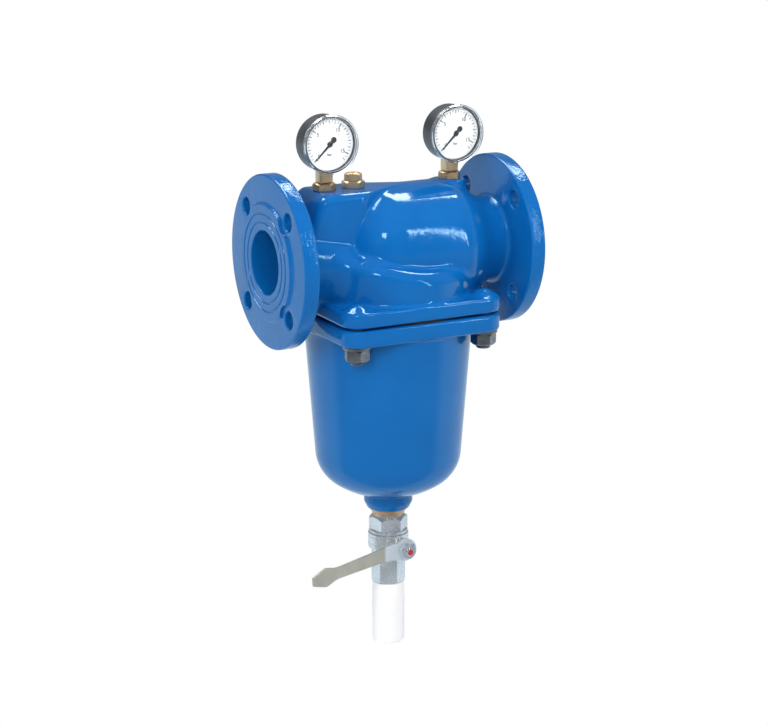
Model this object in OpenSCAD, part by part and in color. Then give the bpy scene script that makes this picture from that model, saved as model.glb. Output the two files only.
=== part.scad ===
// Flanged backwash filter: cast head, hanging bowl, drain ball valve and two pressure gauges.
// The origin is the centre of the inlet flange face, +X runs with the flow and +Z is up.

/* [Pipe connection] */
// Length between the two pipe flange faces
face_to_face = 290; // [284:1:310]
// Outside diameter of the pipe flanges
flange_d = 185; // [180:1:195]
// Thickness of a pipe flange with its raised face
flange_t = 20; // [17:0.5:24]
// Diameter of the raised sealing face
raised_d = 122; // [114:1:123]
// Height of the raised sealing face
raised_h = 3; // [2:0.5:4]
// Depth of the turned rings in the sealing face
face_ring_depth = 0.8; // [0.4:0.1:1.2]
// Diameter of the bolt circle
bolt_circle_d = 145; // [144:0.5:150]
// Number of bolt holes in a pipe flange
bolt_count = 4; // [4:4:8]
// Diameter of a flange bolt hole
bolt_hole_d = 19; // [17:0.5:20]
// Bore of the pipe connections
pipe_bore_d = 68; // [60:1:70]
// Length of the machined bore behind each flange face
pipe_bore_len = 60; // [50:1:64]
// Wall of the pipe necks
neck_wall = 12; // [9:0.5:13]
// Fillet between a pipe flange and its neck
neck_fillet = 8; // [4:0.5:9]

/* [Head casting] */
// Outside diameter of the outlet barrel
barrel_d = 141; // [136:1:148]
// Wall of the outlet barrel
barrel_wall = 9; // [7:0.5:12]
// Rounding of the barrel's closed end
barrel_end_r = 52; // [46:1:56]
// Length of the straight barrel on the inlet side of the bowl axis
barrel_back = 10; // [6:1:16]
// Length of the straight barrel on the outlet side of the bowl axis
barrel_front = 58; // [50:1:62]
// Rounding of the barrel's outlet shoulder
shoulder_r = 38; // [34:1:42]
// Fillet between the shoulder and the outlet neck
shoulder_fillet = 20; // [14:1:22]
// Outside diameter of the skirt above the square flange
skirt_d = 176; // [172:1:182]
// Height of the skirt above the square flange
skirt_h = 31.5; // [28:0.5:36]
// Rounding of the skirt's upper edge
skirt_round = 18; // [12:1:22]
// Rise of the skirt towards the inlet, in degrees
skirt_tilt = 13; // [10:1:20]
// Wall of the skirt
skirt_wall = 12; // [9:0.5:14]
// Thickness of the partition between the inlet and outlet passages
partition_t = 9; // [7:0.5:11]
// Rise of the partition towards the inlet, in degrees
partition_tilt = 12; // [10:1:13]
// Distance from the bowl axis to the end of the outlet chamber
chamber_back = 38; // [34:1:40]
// Width of the pedestal that carries the inlet gauge and the plug
pedestal_w = 70; // [60:1:74]
// Rounding of the pedestal's long upper edges
pedestal_round = 10; // [6:1:14]
// Height of the gauge pads above the barrel
pad_rise = 0.5; // [0.5:0.5:4]
// Diameter of the round pad under the outlet gauge
pad_d = 35; // [32:1:38]

/* [Square joint] */
// Drop from the pipe axis to the top of the head's square flange
head_drop = 43.5; // [42:0.5:47]
// Distance from a stud's axis to the edges of the square flanges
stud_margin = 18.5; // [17.5:0.5:24]
// Corner radius of the square flanges
square_corner_r = 22; // [16:1:26]
// Thickness of the head's square flange
head_plate_t = 16; // [14:0.5:20]
// Thickness of the bowl's square flange
bowl_plate_t = 16.5; // [14:0.5:20]
// Rounding of the long edges of the square flanges
plate_edge_r = 3.5; // [2:0.5:5]
// Thickness of the seal between the square flanges
seal_t = 4.5; // [3:0.5:6]
// Width of the seal
seal_w = 6; // [5:0.5:8]
// Clearance between the washers and the bowl's wall
washer_room = 0.8; // [0.5:0.1:3]
// Diameter of the studs
stud_d = 16; // [14:1:16]
// Depth of the studs in the head
stud_seat = 18; // [16:1:20]
// Length of stud beyond its nut
stud_end = 4; // [2:0.5:8]
// Clearance round a stud in the bowl's flange
stud_play = 0.75; // [0.5:0.05:1]
// Diameter of the washers
washer_d = 30; // [28:0.5:31]
// Thickness of the washers
washer_t = 3; // [2:0.5:4]
// Width of the stud nuts across their flats
nut_af = 24; // [22:0.5:24]
// Height of the stud nuts
nut_h = 13; // [11:0.5:16]
// Diameter of the domed boss above each stud
stud_boss_d = 30; // [28:1:34]

/* [Bowl] */
// Diameter of the bowl just under its square flange
bowl_d = 182; // [178:1:184]
// Depth of the bowl below its square flange
bowl_depth = 195.5; // [185:0.5:220]
// Draft of the bowl's wall in degrees
bowl_draft = 4.35; // [3:0.05:5]
// Radius between the bowl's wall and its crown
bowl_knuckle_r = 42; // [34:1:46]
// Radius of the bowl's crown
bowl_crown_r = 110; // [100:1:130]
// Wall of the bowl
bowl_wall = 7; // [6:0.5:9]
// Diameter of the drain boss under the bowl
boss_d = 54; // [50:1:60]
// Height of the drain boss below the crown
boss_h = 14; // [10:0.5:20]
// Rounding of the drain boss's lower edge
boss_round = 6; // [3:0.5:6.5]
// Diameter of the thread in the drain boss
boss_bore_d = 40; // [39:0.5:41]

/* [Gauges] */
// Distance from the bowl axis to each gauge
gauge_reach = 75; // [70:0.5:80]
// Outside diameter of a gauge window
gauge_d = 63; // [60:0.5:66]
// Height of a gauge's centre above its pad
gauge_rise = 50; // [48:0.5:56]
// Turn of the inlet gauge towards the inlet, in degrees
inlet_gauge_turn = 0; // [0:1:20]
// Turn of the outlet gauge, in degrees
outlet_gauge_turn = 0; // [0:1:20]
// Distance from a gauge's stem axis to its back
gauge_back = 9; // [8.5:0.5:12]
// Distance from a gauge's stem axis to its dial
dial_front = 13; // [12:0.5:16]
// Distance from the dial to the front of the window
window_front = 6.5; // [5.5:0.5:9]
// Wall of a gauge case
case_wall = 1.6; // [1.2:0.1:2]
// Rounding of a gauge case's back edge
case_round = 5; // [3:0.5:7]
// Thickness of a gauge window
window_t = 1.8; // [1.4:0.1:2.4]
// Width of a gauge's square socket
socket_w = 14; // [13:0.5:15]
// Width of the hex bushes across their flats
bush_af = 22; // [21:0.5:24]
// Height of the hex of a bush
bush_hex_h = 7.5; // [6:0.5:9]
// Diameter of the thread of a bush in the head
bush_thread_d = 20.8; // [18:0.1:20.8]
// Length of the thread of a bush in the head
bush_thread_len = 12; // [10:0.5:14]
// Diameter of the thread of a socket or plug in its bush
socket_thread_d = 13; // [12:0.1:13.2]
// Length of a gauge needle from its pivot to its tip
needle_len = 23; // [20:0.5:24]
// Length of a gauge needle's tail
needle_tail = 9.5; // [8:0.5:12]

/* [Plug] */
// Distance from the inlet gauge to the plug
plug_step = 34; // [31:0.5:36]
// Width of the plug's head across its flats
plug_af = 17; // [16:0.5:19]
// Height of the plug's head
plug_h = 7.5; // [6:0.5:10]

/* [Drain valve] */
// Diameter of the drain bush where it meets the boss
drain_bush_d = 42; // [41:0.5:43]
// Diameter of the drain bush at its lower end
drain_bush_tip_d = 36; // [35:0.5:38]
// Height of the drain bush below the boss
drain_bush_h = 7; // [5:0.5:9]
// Length of the drain bush inside the boss
drain_bush_len = 15; // [12:0.5:16]
// Diameter of the valve's upper thread
tail_thread_d = 33; // [32:0.5:33.5]
// Length of thread left free above the valve's hex
tail_thread_free = 3; // [1:0.5:6]
// Width of the valve's upper hex across its flats
tail_hex_af = 38; // [37:0.5:41]
// Height of the valve's upper hex
tail_hex_h = 15; // [12:0.5:18]
// Height of the round collar under the upper hex
tail_collar_h = 4; // [2:0.5:5]
// Diameter of the valve's body
valve_d = 44.8; // [43:0.1:48]
// Height of the round part of the valve's body
valve_round_h = 17; // [15:0.5:20]
// Height of the taper under the round part
valve_taper_h = 7; // [5:0.5:9]
// Width of the valve's lower hex across its flats
valve_hex_af = 33; // [32:0.5:36]
// Height of the valve's lower hex
valve_hex_h = 34; // [30:0.5:40]
// Depth of the ball's centre below the top of the valve's body
ball_drop = 9.5; // [9.5:0.5:10]
// Diameter of the ball
ball_d = 29; // [28:0.5:30]
// Bore of the ball
ball_bore_d = 19; // [17:0.5:20]
// Diameter of the boss round the stem
stem_boss_d = 18.6; // [17:0.1:19]
// Distance from the valve's axis to the face of the stem boss
stem_boss_reach = 30; // [28:0.5:33]
// Diameter of the stem
stem_d = 9; // [8:0.5:9.5]
// Width of the gland nut across its flats
gland_af = 16; // [15:0.5:18]
// Height of the gland nut outside its boss
gland_h = 9.5; // [7:0.5:11]
// Turn of the lever below level as it stands, in degrees
lever_rest = 3; // [0:0.5:5]
// Thickness of the lever
lever_t = 3; // [2.5:0.5:4]
// Diameter of the lever's hub
lever_hub_d = 25; // [22:0.5:28]
// Distance from the stem to the bend of the lever
lever_bend_reach = 24; // [20:1:28]
// Outward bend of the lever in degrees
lever_bend = 15; // [5:1:20]
// Length of the lever beyond its bend
lever_len = 106; // [90:1:120]
// Width of the lever at its bend
lever_root_w = 17; // [15:0.5:19]
// Width of the lever at its neck
lever_neck_w = 13; // [11:0.5:14]
// Width of the lever's flared tip
lever_tip_w = 21; // [18:0.5:24]
// Width of the lever nut across its flats
lever_nut_af = 17; // [16:0.5:18]
// Height of the lever nut
lever_nut_h = 7; // [5:0.5:9]
// Length of stem beyond the lever nut
stem_end = 3.5; // [2:0.5:6]

/* [Drain tube] */
// Outside diameter of the drain tube
tube_d = 35.8; // [34:0.1:37]
// Bore of the drain tube
tube_bore_d = 29; // [27:0.5:30]
// Length of the drain tube below the valve
tube_len = 70; // [60:1:100]
// Rounding of the drain tube's lower edge
tube_round = 3; // [2:0.1:3.1]
// Diameter of the tube's thread in the valve
tube_thread_d = 26.4; // [25:0.1:27]
// Length of the tube's thread in the valve
tube_thread_len = 15; // [12:0.5:18]

/* [Filter insert] */
// Bore of the insert's seat in the head
seat_d = 92; // [88:1:94]
// Wall of the insert's seat
seat_wall = 10; // [8:0.5:11]
// Height of the insert's seat
seat_h = 26; // [24:0.5:28]
// Travel of the insert
insert_travel = 12; // [8:1:14]
// Height of the insert's piston
piston_h = 20; // [18:0.5:22]
// Thickness of the lip under the piston
piston_lip_t = 4; // [3:0.5:6]
// Length of the main screen
main_screen_len = 178; // [160:1:184]
// Thickness of the screens
screen_t = 0.8; // [0.6:0.1:1.2]
// Diameter of the upper screen
upper_screen_d = 68; // [60:1:70]
// Height of the upper screen above the piston
upper_screen_h = 26; // [20:1:30]
// Number of ribs of the screen cage
cage_ribs = 8; // [6:1:12]
// Number of hoops of the screen cage
cage_hoops = 4; // [3:1:6]
// Thickness of the insert's base
base_t = 8; // [6:0.5:10]
// Diameter of the insert's outlet spout
spout_d = 28; // [26:0.5:29]
// Diameter of the impeller
impeller_d = 80; // [72:1:82]
// Height of the impeller
impeller_h = 16; // [12:1:20]
// Number of impeller blades
impeller_blades = 6; // [4:1:8]
// Diameter of the impeller's shaft
shaft_d = 6; // [5:0.5:7]
// Mean diameter of the return spring
spring_d = 38; // [37:0.5:40]
// Wire of the return spring
spring_wire = 2.2; // [1.8:0.1:2.6]
// Number of turns of the return spring
spring_turns = 4; // [3:0.5:5]

/* [Clearances] */
// Gap between pieces that are screwed or pushed together
seat_gap = 0.05; // [0.03:0.01:0.1]
// Radial gap of a turning shaft in its hole
run_gap = 0.05; // [0.03:0.01:0.09]
// Gap between pieces that slide or pass each other
slide_gap = 0.3; // [0.2:0.05:0.4]

/* [Hidden] */
$fn = 72;
// Overlap that lets joined solids and cuts pass through each other
bite = 1;
mid_x = face_to_face / 2;
flange_r = flange_d / 2;
bore_r = pipe_bore_d / 2;
neck_r = bore_r + neck_wall;
barrel_r = barrel_d / 2;
pad_z = barrel_r + pad_rise;
skirt_r = skirt_d / 2;
edge_chamfer = 1.5;
// Rise that rounds the bend in the skirt's upper edge
skirt_lift = 2;
// Turn of the inlet passage down to the bowl
elbow_r = 26;
elbow_wall = 8;
elbow_z = -30;
// Pedestal beyond the inlet gauge, the lean of its end and the radius of its upright corners
pedestal_end = 16;
pedestal_lean = 23;
pedestal_corner = 16;
// Lean of the inlet neck towards the bowl, in degrees
neck_lean = 12;
pad_round = 4;

// Heights of the square joint, counted from the pipe axis
head_plate_z = -head_drop;
joint_z = head_plate_z - head_plate_t;
bowl_top_z = joint_z - seal_t;
bowl_plate_z = bowl_top_z - bowl_plate_t;
crown_z = bowl_plate_z - bowl_depth;
boss_z = crown_z - boss_h;
skirt_z = head_plate_z + skirt_h;
stud_xy = (bowl_d / 2 + washer_d / 2 + washer_room) / sqrt(2);
square_w = 2 * (stud_xy + stud_margin);
stud_boss_sink = 7.5;

// Shoulder of the barrel: fillet centre and the point where shoulder and fillet touch
shoulder_c = barrel_r - shoulder_r;
fillet_c = neck_r + shoulder_fillet;
shoulder_span = shoulder_r + shoulder_fillet;
fillet_x = barrel_front + sqrt(pow(shoulder_span, 2) - pow(fillet_c - shoulder_c, 2));
touch = shoulder_r / shoulder_span;
touch_r = shoulder_c + touch * (fillet_c - shoulder_c);
touch_x = barrel_front + touch * (fillet_x - barrel_front);

// Bowl outline: a drafted wall, a knuckle and a crown that touch each other
wall_n = [cos(bowl_draft), -sin(bowl_draft)];
wall_dir = [-sin(bowl_draft), -cos(bowl_draft)];
wall_top = [bowl_d / 2, bowl_plate_z];
crown_c = [0, crown_z + bowl_crown_r];
knuckle_start = wall_top - bowl_knuckle_r * wall_n;
knuckle_a = knuckle_start - crown_c;
knuckle_b = knuckle_a * wall_dir;
knuckle_span = bowl_crown_r - bowl_knuckle_r;
knuckle_t = -knuckle_b + sqrt(pow(knuckle_b, 2) - knuckle_a * knuckle_a + pow(knuckle_span, 2));
knuckle_c = knuckle_start + knuckle_t * wall_dir;
crown_dir = (knuckle_c - crown_c) / knuckle_span;
bowl_mouth_r = bowl_d / 2 - bowl_wall + bowl_plate_t * tan(bowl_draft);

// Heights of the drain valve
bush_tip_z = boss_z - drain_bush_h;
tail_hex_z = bush_tip_z - tail_thread_free;
valve_top_z = tail_hex_z - tail_hex_h - tail_collar_h;
ball_z = valve_top_z - ball_drop;
valve_taper_z = valve_top_z - valve_round_h;
valve_hex_z = valve_taper_z - valve_taper_h;
valve_end_z = valve_hex_z - valve_hex_h;
tube_end_z = valve_end_z - tube_len;
ball_r = ball_d / 2;
ball_play = 0.5;
chamber_r = ball_r + ball_play;
chamber_floor = 6;
seat_ring_r = ball_r - 1;
seat_ring_near = 5.5;
seat_ring_far = 13;
spigot_wall = 3;
spigot_r = chamber_r + spigot_wall;
spigot_len = ball_drop - seat_ring_near;
packing_w = 2.2;
packing_r = stem_d / 2 + packing_w;
packing_t = 2;
packing_depth = 4;
tang_w = 5;
tang_depth = 4;
lever_y = stem_boss_reach + gland_h + slide_gap;
lever_nut_y = lever_y + lever_t;
stem_reach = lever_nut_y + lever_nut_h + stem_end;

// Filter insert, counted from the pipe axis
seat_drop = 4;
seat_z = head_plate_z - seat_drop;
seat_r = seat_d / 2;
piston_r = seat_r - slide_gap;
lip_z = seat_z - slide_gap;
piston_z = lip_z - piston_lip_t;
piston_top_z = lip_z + piston_h;
piston_wall = 5;
piston_hub_wall = 5;
piston_hub_d = shaft_d + 2 * piston_hub_wall;
spider_h = 8;
ring_wire = 2.6;
screen_step = 2;
screen_r = seat_r + screen_step;
lip_r = screen_r + 3;
cage_r = screen_r - screen_t;
cage_t = 3;
screen_z = piston_z - main_screen_len;
base_z = screen_z - base_t;
spout_r = spout_d / 2;
guide_wall = 2.6;
guide_r = spout_r + slide_gap;
guide_flange_w = 9;
guide_flange_r = guide_r + guide_wall + guide_flange_w;
guide_flange_t = 5;
inner_crown_r = bowl_crown_r - bowl_wall;
guide_seat_z = crown_c[1] - sqrt(pow(inner_crown_r, 2) - pow(guide_flange_r, 2)) + slide_gap;
guide_top_z = guide_seat_z + guide_flange_t;
guide_tube_z = base_z - insert_travel - 2 * slide_gap;
spout_z = boss_z + drain_bush_len + 2 * slide_gap + insert_travel;
spring_top_z = base_z - slide_gap;
impeller_drop = 14;
impeller_z = piston_z - impeller_h - impeller_drop;
shaft_end_z = impeller_z - slide_gap;

// Gauge details in the gauge's own frame, stem axis at the origin, dial towards -Y
gauge_r = gauge_d / 2;
window_lap = 2.5;
case_r = gauge_r - window_t + seat_gap * 2;
window_in_r = case_r + seat_gap;
case_in_r = case_r - case_wall;
dial_t = 0.8;
dial_r = case_in_r - seat_gap;
window_y = dial_front + window_front;
axle_d = 2.4;
needle_t = 0.8;
needle_gap = 1;
movement_t = 3;
movement_room = 6;
movement_y = dial_front - movement_room;
movement_w = 18;
bourdon_r = 19;
bourdon_w = 3;
bourdon_d = 7;
bourdon_sweep = 250;
bourdon_out_r = bourdon_r + bourdon_w / 2;
socket_top = gauge_rise - bourdon_out_r;
movement_h = 2 * bourdon_out_r;
gauges = [[mid_x - gauge_reach, inlet_gauge_turn], [mid_x + gauge_reach, outlet_gauge_turn]];
plug_x = mid_x - gauge_reach + plug_step;

// Shared shapes

// Moves children to the bowl axis at the height of the pipe axis
module on_axis(z = 0) translate([mid_x, 0, z]) children();

// Turns a shape made about Z so that its Z runs along the pipe from the given place
module along_pipe(x) translate([x, 0, 0]) rotate([0, 90, 0]) children();

// Turns a shape made about Z so that its Z runs towards the viewer
module towards_front(z) translate([mid_x, 0, z]) rotate([90, 0, 0]) children();

module ring(outer, inner, h) {
    difference() {
        cylinder(r = outer, h = h);
        translate([0, 0, -bite]) cylinder(r = inner, h = h + 2 * bite);
    }
}

// Hex bar with its corners turned off at the top, and at the bottom too if asked
module hex_blank(af, h, both = false) {
    corner = af / 2 / cos(30);
    turned = corner - af / 2;
    drop = turned * 0.7;
    low = both ? drop : 0;
    intersection() {
        cylinder(r = corner, h = h, $fn = 6);
        rotate_extrude() polygon([
            [0, 0], [both ? af / 2 : corner + bite, 0], [corner + bite, low * (1 + bite / turned)],
            [corner + bite, h - drop * (1 + bite / turned)], [af / 2, h], [0, h]
        ]);
    }
}

// Square plate with round corners
module round_square(w, r, h) {
    core = w / 2 - r;
    linear_extrude(h) union() {
        square([w, 2 * core], center = true);
        square([2 * core, w], center = true);
        for (sx = [-1, 1], sy = [-1, 1]) translate([sx * core, sy * core]) circle(r);
    }
}

// Outline of a bar's end with its upper and lower corners rounded
module soft_end(w, h, r) {
    union() {
        translate([-w / 2, r]) square([w, h - 2 * r]);
        translate([-w / 2 + r, 0]) square([w - 2 * r, h]);
        for (sx = [-1, 1], y = [r, h - r]) translate([sx * (w / 2 - r), y]) circle(r);
    }
}

// Square flange with soft edges, lying on z = 0
module square_flange(h) {
    reach = square_w + 2 * bite;
    intersection() {
        round_square(square_w, square_corner_r, h);
        translate([0, reach / 2, 0]) rotate([90, 0, 0]) linear_extrude(reach)
            soft_end(square_w, h, plate_edge_r);
        translate([-reach / 2, 0, 0]) rotate([90, 0, 90]) linear_extrude(reach)
            soft_end(square_w, h, plate_edge_r);
    }
}

module at_studs() {
    for (sx = [-1, 1], sy = [-1, 1]) on_axis() translate([sx * stud_xy, sy * stud_xy, 0]) children();
}

// Head casting

// Pipe flange with its raised face, fillet and neck, from the sealing face at z = 0
module pipe_end(len) {
    slope = raised_h * 0.8;
    rotate_extrude() union() {
        polygon([
            [0, 0], [raised_d / 2, 0], [raised_d / 2 + slope, raised_h],
            [flange_r - edge_chamfer, raised_h], [flange_r, raised_h + edge_chamfer],
            [flange_r, flange_t - edge_chamfer], [flange_r - edge_chamfer, flange_t], [0, flange_t]
        ]);
        square([neck_r, len]);
        difference() {
            translate([0, flange_t - bite]) square([neck_r + neck_fillet, neck_fillet + bite]);
            translate([neck_r + neck_fillet, flange_t + neck_fillet]) circle(neck_fillet);
        }
    }
}

// Inlet neck that leans down from its flange to the bowl and ends in a dome
module inlet_neck() {
    len = (mid_x - chamber_back - flange_t) / cos(neck_lean);
    translate([flange_t, 0, 0]) rotate([0, 90 + neck_lean, 0]) rotate_extrude() union() {
        translate([0, -flange_t / 3]) square([neck_r, len + flange_t / 3]);
        intersection() {
            translate([0, len]) circle(neck_r);
            square([neck_r, len + neck_r]);
        }
    }
}

// Holes and turned rings of a pipe flange, from the sealing face at z = 0
module pipe_end_cuts() {
    ring_step = (raised_d / 2 - bore_r) / 3;
    ring_w = 1.6;
    translate([0, 0, -bite]) cylinder(r = bore_r, h = pipe_bore_len + bite);
    for (i = [0 : bolt_count - 1]) {
        rotate([0, 0, (i + 0.5) * 360 / bolt_count]) translate([bolt_circle_d / 2, 0, -bite])
            cylinder(d = bolt_hole_d, h = flange_t + 2 * bite);
    }
    for (r = [bore_r + ring_step, bore_r + 2 * ring_step]) {
        translate([0, 0, -bite]) ring(r, r - ring_w, face_ring_depth + bite);
    }
}

// Outline of the outlet barrel, radius across and pipe axis upwards
module barrel_outline() {
    end_c = barrel_r - barrel_end_r;
    union() {
        translate([0, -barrel_back]) square([barrel_r, barrel_back + barrel_front]);
        translate([0, -barrel_back - barrel_end_r]) square([end_c, barrel_end_r + bite]);
        intersection() {
            translate([end_c, -barrel_back]) circle(barrel_end_r);
            translate([0, -barrel_back - barrel_end_r]) square([barrel_r, barrel_end_r]);
        }
        intersection() {
            translate([shoulder_c, barrel_front]) circle(shoulder_r);
            translate([0, barrel_front]) square([barrel_r, shoulder_r]);
        }
        difference() {
            polygon([
                [0, barrel_front], [shoulder_c, barrel_front], [touch_r, touch_x],
                [neck_r, fillet_x], [0, fillet_x]
            ]);
            translate([fillet_c, fillet_x]) circle(shoulder_fillet);
        }
    }
}

// Outline of the outlet chamber inside the barrel
module chamber_outline() {
    hollow_r = barrel_r - barrel_wall;
    end_r = chamber_back - barrel_back + bite;
    throat_x = mid_x - pipe_bore_len;
    union() {
        translate([0, -chamber_back]) square([hollow_r - end_r, chamber_back]);
        intersection() {
            translate([hollow_r - end_r, -chamber_back + end_r]) circle(end_r);
            translate([0, -chamber_back]) square([hollow_r, 2 * end_r]);
        }
        translate([0, -chamber_back + end_r]) square([hollow_r, barrel_front + chamber_back - end_r]);
        polygon([
            [0, barrel_front - bite], [hollow_r, barrel_front - bite], [hollow_r, barrel_front],
            [bore_r, throat_x], [bore_r, throat_x + bite], [0, throat_x + bite]
        ]);
    }
}

// Skirt from a depth below its top, revolved about Z with its top at z = 0
module skirt_form(depth) {
    rotate_extrude() union() {
        translate([0, -depth]) square([skirt_r, depth - skirt_round]);
        translate([0, -depth]) square([skirt_r - skirt_round, depth]);
        translate([skirt_r - skirt_round, -skirt_round]) circle(skirt_round);
    }
}

// Half space above or below a plane that rises towards the inlet through the seat's middle
module passage_side(above) {
    size = 2 * face_to_face;
    translate([0, 0, seat_z + seat_h / 2]) rotate([0, partition_tilt, 0])
        translate([-size / 2, -size / 2, above ? partition_t / 2 : -partition_t / 2 - size]) cube(size);
}

// Pedestal on the inlet neck: flat top, leaning end and a point that runs out on the barrel
module pedestal() {
    half = pedestal_w / 2 + 2 * bite;
    end_x = gauge_reach + pedestal_end;
    taper_x = gauge_reach - plug_step + bite;
    point_x = barrel_front / 2;
    depth = pad_z - neck_r / 2;
    intersection() {
        union() {
            linear_extrude(pad_z) polygon([
                [pedestal_corner - end_x, -half], [-taper_x, -half], [point_x, 0], [-taper_x, half],
                [pedestal_corner - end_x, half]
            ]);
            translate([-end_x, 0, pad_z]) rotate([0, pedestal_lean, 0]) translate([0, 0, -depth])
                linear_extrude(2 * depth) union() {
                    translate([pedestal_corner, -half]) square([pedestal_corner, 2 * half]);
                    translate([0, pedestal_corner - half])
                        square([2 * pedestal_corner, 2 * (half - pedestal_corner)]);
                    for (sy = [-1, 1]) translate([pedestal_corner, sy * (half - pedestal_corner)])
                        circle(pedestal_corner);
                }
        }
        translate([-mid_x, 0, 0]) rotate([90, 0, 90]) linear_extrude(face_to_face)
            translate([0, -pedestal_round])
                soft_end(pedestal_w, pad_z + pedestal_round, pedestal_round);
    }
}

// Everything of the head outside its passages
module head_form() {
    root_z = head_plate_z - head_plate_t / 2;
    along_pipe(0) pipe_end(flange_t + neck_fillet + bite);
    intersection() {
        inlet_neck();
        translate([0, -face_to_face / 2, joint_z + head_plate_t / 8]) cube(face_to_face);
    }
    translate([face_to_face, 0, 0]) mirror([1, 0, 0]) along_pipe(0) pipe_end(mid_x - fillet_x + bite);
    on_axis() {
        intersection() {
            rotate([0, 90, 0]) rotate_extrude() barrel_outline();
            translate([-face_to_face, -face_to_face, root_z]) cube(2 * face_to_face);
        }
        translate([0, 0, skirt_z]) skirt_form(skirt_z - root_z);
        for (share = [0.5, 1]) intersection() {
            translate([0, 0, skirt_z + 4 * skirt_lift * share * (1 - share)])
                rotate([0, skirt_tilt * share, 0]) skirt_form(2 * skirt_h);
            translate([skirt_r * (1 - share) - face_to_face, -face_to_face / 2, root_z])
                cube(face_to_face);
        }
        pedestal();
        translate([gauge_reach, 0, 0]) rotate_extrude() union() {
            square([pad_d / 2, pad_z - pad_round]);
            square([pad_d / 2 - pad_round, pad_z]);
            translate([pad_d / 2 - pad_round, pad_z - pad_round]) circle(pad_round);
        }
        translate([0, 0, joint_z]) square_flange(head_plate_t);
    }
    at_studs() intersection() {
        translate([0, 0, head_plate_z - stud_boss_sink]) sphere(d = stud_boss_d);
        translate([0, 0, root_z]) cylinder(d = stud_boss_d + bite, h = stud_boss_d);
    }
}

// Inlet passage, inlet chamber and outlet chamber
module head_passages() {
    along_pipe(0) pipe_end_cuts();
    translate([face_to_face, 0, 0]) mirror([1, 0, 0]) along_pipe(0) pipe_end_cuts();
    along_pipe(0) cylinder(r = bore_r - 1, h = mid_x - chamber_back - elbow_wall);
    on_axis() {
        intersection() {
            translate([0, 0, joint_z - bite]) cylinder(r = skirt_r - skirt_wall, h = 2 * skirt_h + head_drop);
            passage_side(false);
        }
        translate([-chamber_back - elbow_wall - elbow_r, 0, elbow_z]) sphere(r = elbow_r);
        translate([0, 0, joint_z - bite]) cylinder(r = seat_r + seat_wall, h = seat_z - joint_z + bite);
        intersection() {
            rotate([0, 90, 0]) rotate_extrude() chamber_outline();
            passage_side(true);
        }
    }
}

// Threaded hole for a bush
module port_hole(x) translate([x, 0, pad_z - bush_thread_len - bite])
    cylinder(r = bush_thread_d / 2 + seat_gap, h = bush_thread_len + 2 * bite);

// Channel from a gauge's port to the passage below it
module gauge_channel(x) translate([x, 0, 0]) cylinder(r = socket_thread_d / 2, h = pad_z);

module housing() color([0.05, 0.33, 0.66]) {
    difference() {
        union() {
            difference() {
                head_form();
                head_passages();
            }
            intersection() {
                on_axis(seat_z) cylinder(r = seat_r + seat_wall, h = seat_h);
                head_form();
            }
        }
        on_axis(seat_z - bite) cylinder(r = seat_r, h = 2 * seat_h);
        at_studs() translate([0, 0, joint_z - bite])
            cylinder(d = stud_d + 2 * seat_gap, h = stud_seat + bite);
        for (g = gauges) {
            port_hole(g[0]);
            gauge_channel(g[0]);
        }
        port_hole(plug_x);
    }
}

// Bowl

// Outline of the bowl, brought in by a wall and carried on above the wall's top by a rise
module bowl_outline(inset, rise) {
    wall_side = knuckle_c + (bowl_knuckle_r - inset) * wall_n;
    top = wall_top - inset * wall_n - rise / cos(bowl_draft) * wall_dir;
    far = 2 * bowl_crown_r;
    union() {
        polygon([[0, top[1]], top, wall_side, knuckle_c, [0, knuckle_c[1]]]);
        intersection() {
            translate(knuckle_c) circle(bowl_knuckle_r - inset);
            translate([0, -face_to_face * 2]) square([face_to_face, face_to_face * 2]);
        }
        intersection() {
            translate(crown_c) circle(bowl_crown_r - inset);
            polygon([crown_c, crown_c + far * crown_dir, crown_c - [0, far]]);
        }
    }
}

module bowl() color([0.05, 0.33, 0.66]) on_axis() {
    difference() {
        union() {
            rotate_extrude() bowl_outline(0, bite);
            translate([0, 0, bowl_plate_z]) square_flange(bowl_plate_t);
            rotate_extrude() union() {
                translate([0, boss_z + boss_round]) square([boss_d / 2, boss_h + bowl_wall - boss_round]);
                translate([0, boss_z]) square([boss_d / 2 - boss_round, boss_h + bowl_wall]);
                translate([boss_d / 2 - boss_round, boss_z + boss_round]) circle(boss_round);
            }
        }
        rotate_extrude() bowl_outline(bowl_wall, bowl_plate_t + bite);
        translate([0, 0, boss_z - bite]) cylinder(d = boss_bore_d, h = boss_h + 2 * bowl_wall);
        for (sx = [-1, 1], sy = [-1, 1]) translate([sx * stud_xy, sy * stud_xy, bowl_plate_z - bite])
            cylinder(d = stud_d + 2 * stud_play, h = bowl_plate_t + 2 * bite);
    }
}

module bowl_seal() color([0.08, 0.08, 0.09]) on_axis(bowl_top_z)
    ring(bowl_mouth_r + seal_w, bowl_mouth_r, seal_t);

module bowl_studs() color([0.42, 0.40, 0.38]) at_studs() {
    low = bowl_plate_z - washer_t - nut_h - stud_end;
    len = joint_z + stud_seat - low;
    translate([0, 0, low]) rotate_extrude() polygon([
        [0, 0], [stud_d / 2 - edge_chamfer, 0], [stud_d / 2, edge_chamfer], [stud_d / 2, len], [0, len]
    ]);
}

module bowl_washers() color([0.45, 0.43, 0.40]) at_studs()
    translate([0, 0, bowl_plate_z - washer_t]) ring(washer_d / 2, stud_d / 2 + stud_play / 2, washer_t);

module bowl_nuts() color([0.32, 0.29, 0.27]) at_studs() difference() {
    translate([0, 0, bowl_plate_z - washer_t - nut_h]) hex_blank(nut_af, nut_h, true);
    translate([0, 0, bowl_plate_z - washer_t - nut_h - bite])
        cylinder(r = stud_d / 2 + seat_gap, h = nut_h + 2 * bite);
}

// Gauges, each in its own frame: stem axis at the origin, pad at z = 0, dial towards -Y

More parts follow.
